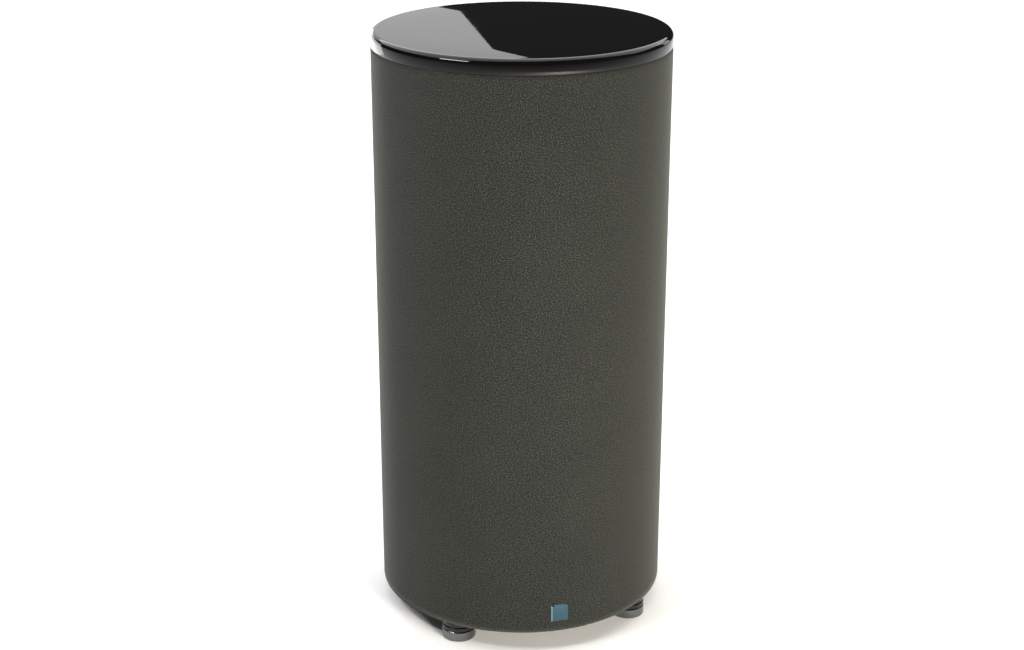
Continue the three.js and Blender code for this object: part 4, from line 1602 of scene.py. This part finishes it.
class SUBWOOFER_OT_amp_panel(bpy.types.Operator):
    """Finishes the panel, its printed dials and its screws"""

    bl_idname = "subwoofer.amp_panel"
    bl_label = "Amplifier Panel"

    def execute(self, context):
        # bead-blasted and anodised aluminium: dark grey with a fine, even sparkle
        blasted = {"size": 0.4, "depth": 0.02, "metallic": 0.7}
        dress(metal("black_anodised_aluminium", "#232326", 0.42, **blasted), "amp_panel")
        # closed-cell foam: dull and slightly pitted
        dress(moulded("gasket_foam", "#1b1b1b", 0.95, size=0.8, depth=0.2), "amp_gasket")
        # screen-printed ink: flat off-white
        ink = moulded("white_screen_ink", "#d9d9d4", 0.6, size=0.3, depth=0.01)
        knobs = [middle(n) for n in ("volume_knob", "lowpass_knob", "phase_knob")]
        dials = grown(
            "dial_marks",
            dial_tree(),
            [Vector((k.x, PANEL_Y, k.z)) for k in knobs],
            [],
            **{
                "Count": 11,
                "Radius": 14 * MM,
                "Sweep": math.radians(300),
                "Length": 2.6 * MM,
                "Width": 0.5 * MM,
                "Thickness": 0.12 * MM,
                "Facing": (0, 1, 0),
                "Material": ink,
            },
        )
        rides(dials, "cabinet", "panel_metal")
        written = []
        for k, (first, last) in zip(knobs, (("0", "10"), ("40", "160"), ("0", "180"))):
            for side, text in ((1, first), (-1, last)):
                spot = (k.x + side * 11.5 * MM, PANEL_Y + 0.06 * MM, k.z - 16.5 * MM)
                written.append(numeral("numeral", text, 4.2, spot, ink))
        rides(joined("dial_numbers", written), "cabinet", "panel_metal")
        self.rules(ink)
        # black zinc: a little brighter than the panel
        steel = metal("black_zinc_screws", "#303032", 0.3, size=0.6)
        centre = (PANEL_LOW + PANEL_HIGH) / 2
        x, z = 98.5 * MM, 130.5 * MM
        grid = [(sx * x, sz * z) for sx in (-1, 1) for sz in (-1, -1 / 3, 1 / 3, 1)]
        grid += [(0, z), (0, -z)]
        screws = grown(
            "panel_screws",
            screw_tree(),
            [Vector((centre.x + u, PANEL_Y, centre.z + v)) for u, v in grid],
            [],
            **{
                "Head Radius": 3.4 * MM,
                "Head Height": 2.2 * MM,
                "Socket Radius": 1.6 * MM,
                "Facing": (0, 1, 0),
                "Material": steel,
            },
        )
        rides(screws, "cabinet", "panel_metal")
        return {"FINISHED"}

    def rules(self, ink):
        """Thin printed frames round the sockets."""
        parts = []
        left, right = middle("output_jacks"), middle("input_jacks")
        inlet = middle("mains_inlet")
        line, corner = 0.5 * MM, 3 * MM
        for low_x, high_x, z, h in (
            (left.x - 13 * MM, right.x + 13 * MM, left.z, 27 * MM),
            (inlet.x - 22 * MM, inlet.x + 22 * MM, inlet.z, 31 * MM),
        ):
            w = (high_x - low_x) / 2
            x = (low_x + high_x) / 2

            def ring(inset, y):
                outline = rounded_loop(w - inset, h - inset, corner, 2, 4)
                return [Vector((x + u, y, z + v)) for u, v in outline]

            y0, y1 = PANEL_Y + 0.01 * MM, PANEL_Y + 0.1 * MM
            points, faces = loft([ring(0, y0), ring(0, y1), ring(line, y1), ring(line, y0)])
            parts.append(make("rule", points, faces, ink))
        rides(joined("panel_rules", parts), "cabinet", "panel_metal")


class SUBWOOFER_OT_controls(bpy.types.Operator):
    """Makes the knobs and the rocker, and finishes the slide switch and fuse drawer"""

    bl_idname = "subwoofer.controls"
    bl_label = "Controls"

    def execute(self, context):
        # fine-textured ABS: satin, so that the flutes show
        plastic = moulded("knob_abs", "#151516", 0.34, size=0.4, depth=0.02)
        # filled paint: the brightest white on the panel
        ink = moulded("pointer_ink", "#e4e4de", 0.5, size=0.3, depth=0.01)
        for name in ("volume_knob", "lowpass_knob", "phase_knob"):
            self.knob(name, plastic, ink)
        self.rocker(ink)
        # smoother ABS than the panel frame's: black, with a low sheen
        abs_plastic = moulded("control_abs", "#121213", 0.45, size=0.4, depth=0.02)
        dress(abs_plastic, "auto_switch_nub", "fuse_drawer", "switch_housing", "mains_inlet")
        return {"FINISHED"}

    def knob(self, name, plastic, ink):
        """A fluted skirt under a shallow dish, with a printed pointer."""
        place_at = middle(name)
        x, z = place_at.x, place_at.z
        count, flutes, flute_depth = 160, 20, 0.38
        # radius, height above the panel, and the share of the flutes' depth there
        profile = [
            (3.0, -11.9, 0),
            (3.0, 1.0, 0),
            (9.3, 1.0, 0),
            (9.75, 1.3, 0),
            (9.75, 2.4, 0),
            (9.6, 2.9, 0.6),
            (9.35, 8, 1),
            (9.15, 12.2, 1),
            (8.9, 13.2, 0.4),
            (8.4, 13.7, 0),
            (7.8, 13.8, 0),
            (7.2, 13.5, 0),
            (4, 13.3, 0),
        ]
        loops = [[Vector((x, PANEL_Y - 11.9 * MM, z))]]
        for r, y, cut in profile:
            ring = []
            for k in range(count):
                a = TAU * k / count
                dip = cut * flute_depth * max(0.0, math.sin(flutes * a)) ** 0.7
                rr = (r - dip) * MM
                ring.append(Vector((x + rr * math.cos(a), PANEL_Y + y * MM, z + rr * math.sin(a))))
            loops.append(ring)
        loops.append([Vector((x, PANEL_Y + 13.3 * MM, z))])
        points, faces = loft(loops, closed=False)
        cap = make(name + "_cap", points, faces, plastic, 40)
        rides(cap, name, "knob_plastic", name)
        y = PANEL_Y + 13.25 * MM
        pointer = block(
            name + "_pointer",
            (x - 0.6 * MM, y, z + 1.2 * MM),
            (x + 0.6 * MM, y + 0.9 * MM, z + 7.9 * MM),
            ink,
            0.2,
        )
        rides(pointer, name, "knob_plastic")

    def rocker(self, ink):
        """A dished rocker with its two marks, resting with its lower end pressed."""
        joint = next(j for j in frame["joints"] if j["name"] == "power_rocker_tilt")
        pivot = Vector(joint["pos_m"])
        half_w, half_l = 7.8, 11.1
        tilt = math.radians(-6)  # at rest the upper end stands proud

        def spot(x, v, n):
            """v runs up the panel and n out of it, about the pivot, in millimetres."""
            up = v * math.cos(tilt) + n * math.sin(tilt)
            out = n * math.cos(tilt) - v * math.sin(tilt)
            return pivot + Vector((x, 0, 0)) * MM + Vector((0, out, up)) * MM

        def dish(v):
            """Height of the rocker's hollow face."""
            return 6.4 + 2.1 * (v / half_l) ** 2

        steps = 16
        top = [(-half_l + 2 * half_l * i / steps) for i in range(steps + 1)]
        outline = [(v, dish(v)) for v in top]
        outline += [(half_l, 1.0), (2.5, 1.0), (2.5, -2.8)]
        outline += [(-2.5, -2.8), (-2.5, 1.0), (-half_l, 1.0)]
        loops = [[spot(x, v, n) for v, n in outline] for x in (-half_w, half_w)]
        points, faces = loft(loops, closed=False)
        n = len(outline)
        faces += [tuple(range(n)), tuple(2 * n - 1 - k for k in range(n))]
        faces = [f[::-1] for f in faces]
        # polished nylon: the glossiest plastic on the panel
        gloss = moulded("rocker_nylon", "#101010", 0.28, size=0.8, depth=0.01)
        made = bevelled(make("rocker", points, faces, gloss, 30), 0.4)
        rides(made, "power_rocker", "fitting_plastic", "power_rocker")
        proud, sunk = 0.08, -0.1  # the marks' faces, from the dish
        bar = [(-0.35, 4.2), (0.35, 4.2), (0.35, 7.8), (-0.35, 7.8)]
        points = [spot(x, v, dish(v) + lift) for lift in (proud, sunk) for x, v in bar]
        stroke = make("stroke", points, BOX_FACES, ink)
        loops = []
        for r, lift in ((1.3, sunk), (1.3, proud), (1.9, proud), (1.9, sunk)):
            ring = []
            for k in range(32):
                a = TAU * k / 32
                v = -6 + r * math.sin(a)
                ring.append(spot(r * math.cos(a), v, dish(v) + lift))
            loops.append(ring)
        points, faces = loft(loops)
        circle = make("circle", points, faces, ink)
        rides(joined("rocker_marks", [stroke, circle]), "power_rocker", "fitting_plastic")


class SUBWOOFER_OT_sockets(bpy.types.Operator):
    """Makes the phono sockets, the mains pins, the trigger socket and the lamp"""

    bl_idname = "subwoofer.sockets"
    bl_label = "Sockets and Lamp"

    def execute(self, context):
        # thin gold plating: a warm, clear shine
        gold = metal("gold_flash", "#d8b25c", 0.2, size=0.8, depth=0.003)
        # plain black ABS, so that the gold stands out
        plastic = moulded("socket_abs", "#171718", 0.5, size=0.5)
        # coloured polyethylene: white for left, red for right
        inks = [
            moulded("white_insulator", "#e2e0da", 0.45, size=0.6, depth=0.01),
            moulded("red_insulator", "#a3201c", 0.45, size=0.6, depth=0.01),
        ]
        for name in ("input_jacks", "output_jacks"):
            self.pair(name, gold, plastic, inks)
        # bright nickel: pale and slightly warm
        nickel = metal("nickel_plate", "#bdbab2", 0.2, size=0.8, depth=0.003)
        dress(nickel, "trigger_jack")
        inlet = middle("mains_inlet")
        pins = []
        for dx, dz in ((-7, 6.5), (0, 10.5), (7, 6.5)):
            x, z = inlet.x - dx * MM, inlet.z + dz * MM
            pins.append(
                block(
                    "pin",
                    (x - 1.1 * MM, PANEL_Y - 16.9 * MM, z - 2.1 * MM),
                    (x + 1.1 * MM, PANEL_Y - 2.9 * MM, z + 2.1 * MM),
                    nickel,
                    0.6,
                )
            )
        rides(joined("mains_pins", pins), "cabinet", "fitting_plastic")
        self.lamp()
        return {"FINISHED"}

    def pair(self, name, gold, plastic, inks):
        """Two phono sockets in one moulding, white over red."""
        low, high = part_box(name)
        spot = middle(name)
        y = PANEL_Y
        plate = block(
            name + "_plate",
            (low.x, y + 0.3 * MM, low.z),
            (high.x, y + 1.5 * MM, high.z),
            plastic,
            0.4,
        )
        body = block(
            name + "_body",
            (low.x + 2.5 * MM, low.y, low.z + 3 * MM),
            (high.x - 2.5 * MM, y + 0.6 * MM, high.z - 3 * MM),
            plastic,
            0.5,
        )
        rides(joined(name + "_moulding", [plate, body]), "cabinet", "fitting_plastic", name)
        barrels = []
        for dz, ink in ((8.5, inks[0]), (-8.5, inks[1])):
            at = (spot.x, y, spot.z + dz * MM)
            barrel = [(3.3, 1.2), (6, 1.2), (6, 2.6), (4.1, 2.6), (4.1, 10), (3.3, 10)]
            barrels.append(turned("barrel", barrel, gold, 48, at, "Y", 0.25))
            core = [(1.7, 1.4), (3.25, 1.4), (3.25, 9.2), (1.7, 9.2)]
            barrels.append(turned("core", core, ink, 32, at, "Y", 0.2))
            contact = [(0, 1.4), (1.65, 1.4), (1.65, 5), (0, 5)]
            barrels.append(turned("contact", contact, gold, 24, at, "Y", 0.1))
        rides(joined(name + "_barrels", barrels), "cabinet", "jack_gold", name)

    def lamp(self):
        spot = middle("status_led")

        # diffused epoxy: milky blue under a glossy skin
        def build(tree):
            milky = ramp(tree, grain(tree, 2, 2), [(0.3, "#7fa6d8"), (0.7, "#a9c8f0")])
            return {"Base Color": milky, "Roughness": 0.15, "Coat Weight": 0.5}

        lens = turned(
            "lamp_lens",
            [(0, -6), (2, -6), (2, 0.3), *arc(0, 0, 2, 8, 80, 6), (0, 2)],
            material("diffused_lens", build),
            40,
            (spot.x, PANEL_Y, spot.z),
            "Y",
            0,
            50,
        )
        rides(lens, "cabinet", "led_lens", "status_led")


class SUBWOOFER_OT_amp_inside(bpy.types.Operator):
    """Finishes what is behind the panel, and the lead to the driver"""

    bl_idname = "subwoofer.amp_inside"
    bl_label = "Amplifier Inside"

    def execute(self, context):
        # zinc-coated sheet: grey, with broad, faint spangles
        dress(metal("zinc_can", "#a9abab", 0.38, size=6, depth=0.01), "amp_case")
        # solder mask: glossy dark green
        mask = moulded("solder_mask", "#1f5a38", 0.35, size=3, depth=0.02)
        dress(mask, "circuit_board")
        # bare extrusion: pale, with lines along its length
        dress(metal("extruded_aluminium", "#b9bbbd", 0.35, (1, 1, 0.1), 0.8, 0.02), "heat_sink")
        # polyester tape: yellow-brown turns that overlap
        dress(winding("transformer_tape", "#8a6a22", "#c9a54a", 3), "transformer")
        # shrunk PVC: smooth, dark blue and glossy
        dress(moulded("shrink_sleeve", "#141c2c", 0.35, size=3, depth=0.01), "reservoir_capacitor")
        # extruded soft PVC: black, with a dull sheen
        pvc = moulded("flexible_pvc", "#1b1b1c", 0.55, size=0.8, depth=0.03)
        curve = bpy.data.curves.new("lead", "CURVE")
        curve.dimensions = "3D"
        curve.bevel_depth = 2.55 * MM
        curve.bevel_resolution = 6
        curve.use_fill_caps = True
        # from the can's gland, down to the driver's terminal
        route = [
            (-60, 107.2, 170),
            (-60, 99, 170),
            (-70, 84, 172),
            (-88, 52, 176),
            (-97, 22, 177),
            (-99, 5, 171),
            (-99, 0, 162),
            (-99, 0, 149.6),
        ]
        spline = curve.splines.new("NURBS")
        spline.points.add(len(route) - 1)
        for point, place_at in zip(spline.points, route):
            point.co = (*(Vector(place_at) * MM), 1)
        spline.use_endpoint_u = True
        spline.order_u = 4
        spline.resolution_u = 8
        made = shown("driver_lead", drawn("lead", curve, pvc))
        rides(made, "cabinet", "lead_pvc", "speaker_lead")
        return {"FINISHED"}


# ---- Feet --------------------------------------------------------------------------------------


class SUBWOOFER_OT_feet(bpy.types.Operator):
    """Turns the four levelling feet: nickel base, rubber pad, black hub and threaded stud"""

    bl_idname = "subwoofer.feet"
    bl_label = "Levelling Feet"

    def execute(self, context):
        # turned and satin-plated brass: grey, with fine rings that spread the highlights
        nickel = metal("satin_nickel", "#7c7e7b", 0.22, (1, 1, 14), 1.0, 0.006)
        # stoved gloss paint: deep black with sharp highlights
        black = moulded("gloss_black_paint", "#0c0c0d", 0.14, size=0.6, depth=0.006)
        # moulded rubber: matt, dark grey
        rubber = moulded("foot_rubber", "#1c1c1c", 0.8, size=0.6, depth=0.06)
        base = [
            (0, 3.8),
            (21.5, 3.8),
            (21.5, 0.7),
            (24.1, 0.7),
            (24.5, 1.2),
            (24.5, 13.8),
            (23.4, 15),
            (8, 15),
            (8, 9),
            (0, 9),
        ]
        treads = []
        for r in (5, 9, 13, 17):
            treads += [(r, 0), (r + 0.3, 0.8), (r + 1.7, 0.8), (r + 2, 0)]
        pad = [(0, 0), *treads, (20.4, 0), (21, 0.6), (21, 3.5), (0, 3.5)]
        pitch, z, stud_top = 1.25, 30.0, 51
        thread = []
        while z < stud_top:
            thread += [(3.95, z), (3.4, z + 0.62)]
            z += pitch
        hub = [
            (0, 9.3),
            (7, 9.3),
            (7, 15.3),
            (23.5, 15.3),
            (24.1, 15.9),
            (24.1, 20.8),
            (23.5, 21.4),
            (22.9, 22.1),
            (23.5, 22.8),
            (24.1, 23.4),
            (24.1, 28.4),
            (23.5, 29),
            (4, 29),
            *thread,
            (3.2, 52),
            (0, 52),
        ]
        for i in (1, 2, 3, 4):
            spot = middle(f"foot_{i}_base")
            at = (spot.x, spot.y, 0)
            body = f"foot_{i}"
            made = turned(f"{body}_cup", base, nickel, 96, at, ease=0.2, crease=25)
            rides(made, body, "foot_nickel", f"{body}_base")
            made = turned(f"{body}_sole", pad, rubber, 72, at, ease=0)
            rides(made, body, "foot_rubber", f"{body}_pad")
            made = turned(f"{body}_knob", hub, black, 72, at, ease=0.15, crease=25)
            rides(made, f"{body}_screw", "foot_black", f"{body}_hub")
        return {"FINISHED"}


# ---- Add-on ------------------------------------------------------------------------------------

OPERATORS = (
    SUBWOOFER_OT_stage,
    SUBWOOFER_OT_sleeve,
    SUBWOOFER_OT_cap,
    SUBWOOFER_OT_badge,
    SUBWOOFER_OT_carcass,
    SUBWOOFER_OT_port,
    SUBWOOFER_OT_driver,
    SUBWOOFER_OT_amp_frame,
    SUBWOOFER_OT_amp_panel,
    SUBWOOFER_OT_controls,
    SUBWOOFER_OT_sockets,
    SUBWOOFER_OT_amp_inside,
    SUBWOOFER_OT_feet,
)


class SUBWOOFER_PT_panel(bpy.types.Panel):
    """Lists the subwoofer's pieces and settings"""

    bl_idname = "SUBWOOFER_PT_panel"
    bl_label = "Subwoofer"
    bl_space_type = "VIEW_3D"
    bl_region_type = "UI"
    bl_category = "Subwoofer"

    def draw(self, context):
        settings = context.scene.subwoofer
        for group in (settings.sleeve, settings.cap, settings.stage):
            for name in group.__annotations__:
                self.layout.prop(group, name)
        for operator in OPERATORS:
            self.layout.operator(operator.bl_idname)


CLASSES = (
    SleeveSettings,
    CapSettings,
    StageSettings,
    SubwooferSettings,
    *OPERATORS,
    SUBWOOFER_PT_panel,
)


def register():
    for cls in CLASSES:
        bpy.utils.register_class(cls)
    bpy.types.Scene.subwoofer = bpy.props.PointerProperty(type=SubwooferSettings)


def unregister():
    del bpy.types.Scene.subwoofer
    for cls in reversed(CLASSES):
        bpy.utils.unregister_class(cls)


def main():
    register()
    for operator in OPERATORS:
        getattr(bpy.ops.subwoofer, operator.bl_idname.split(".")[1])()
    bpy.context.view_layer.update()


if __name__ == "__main__":
    main()
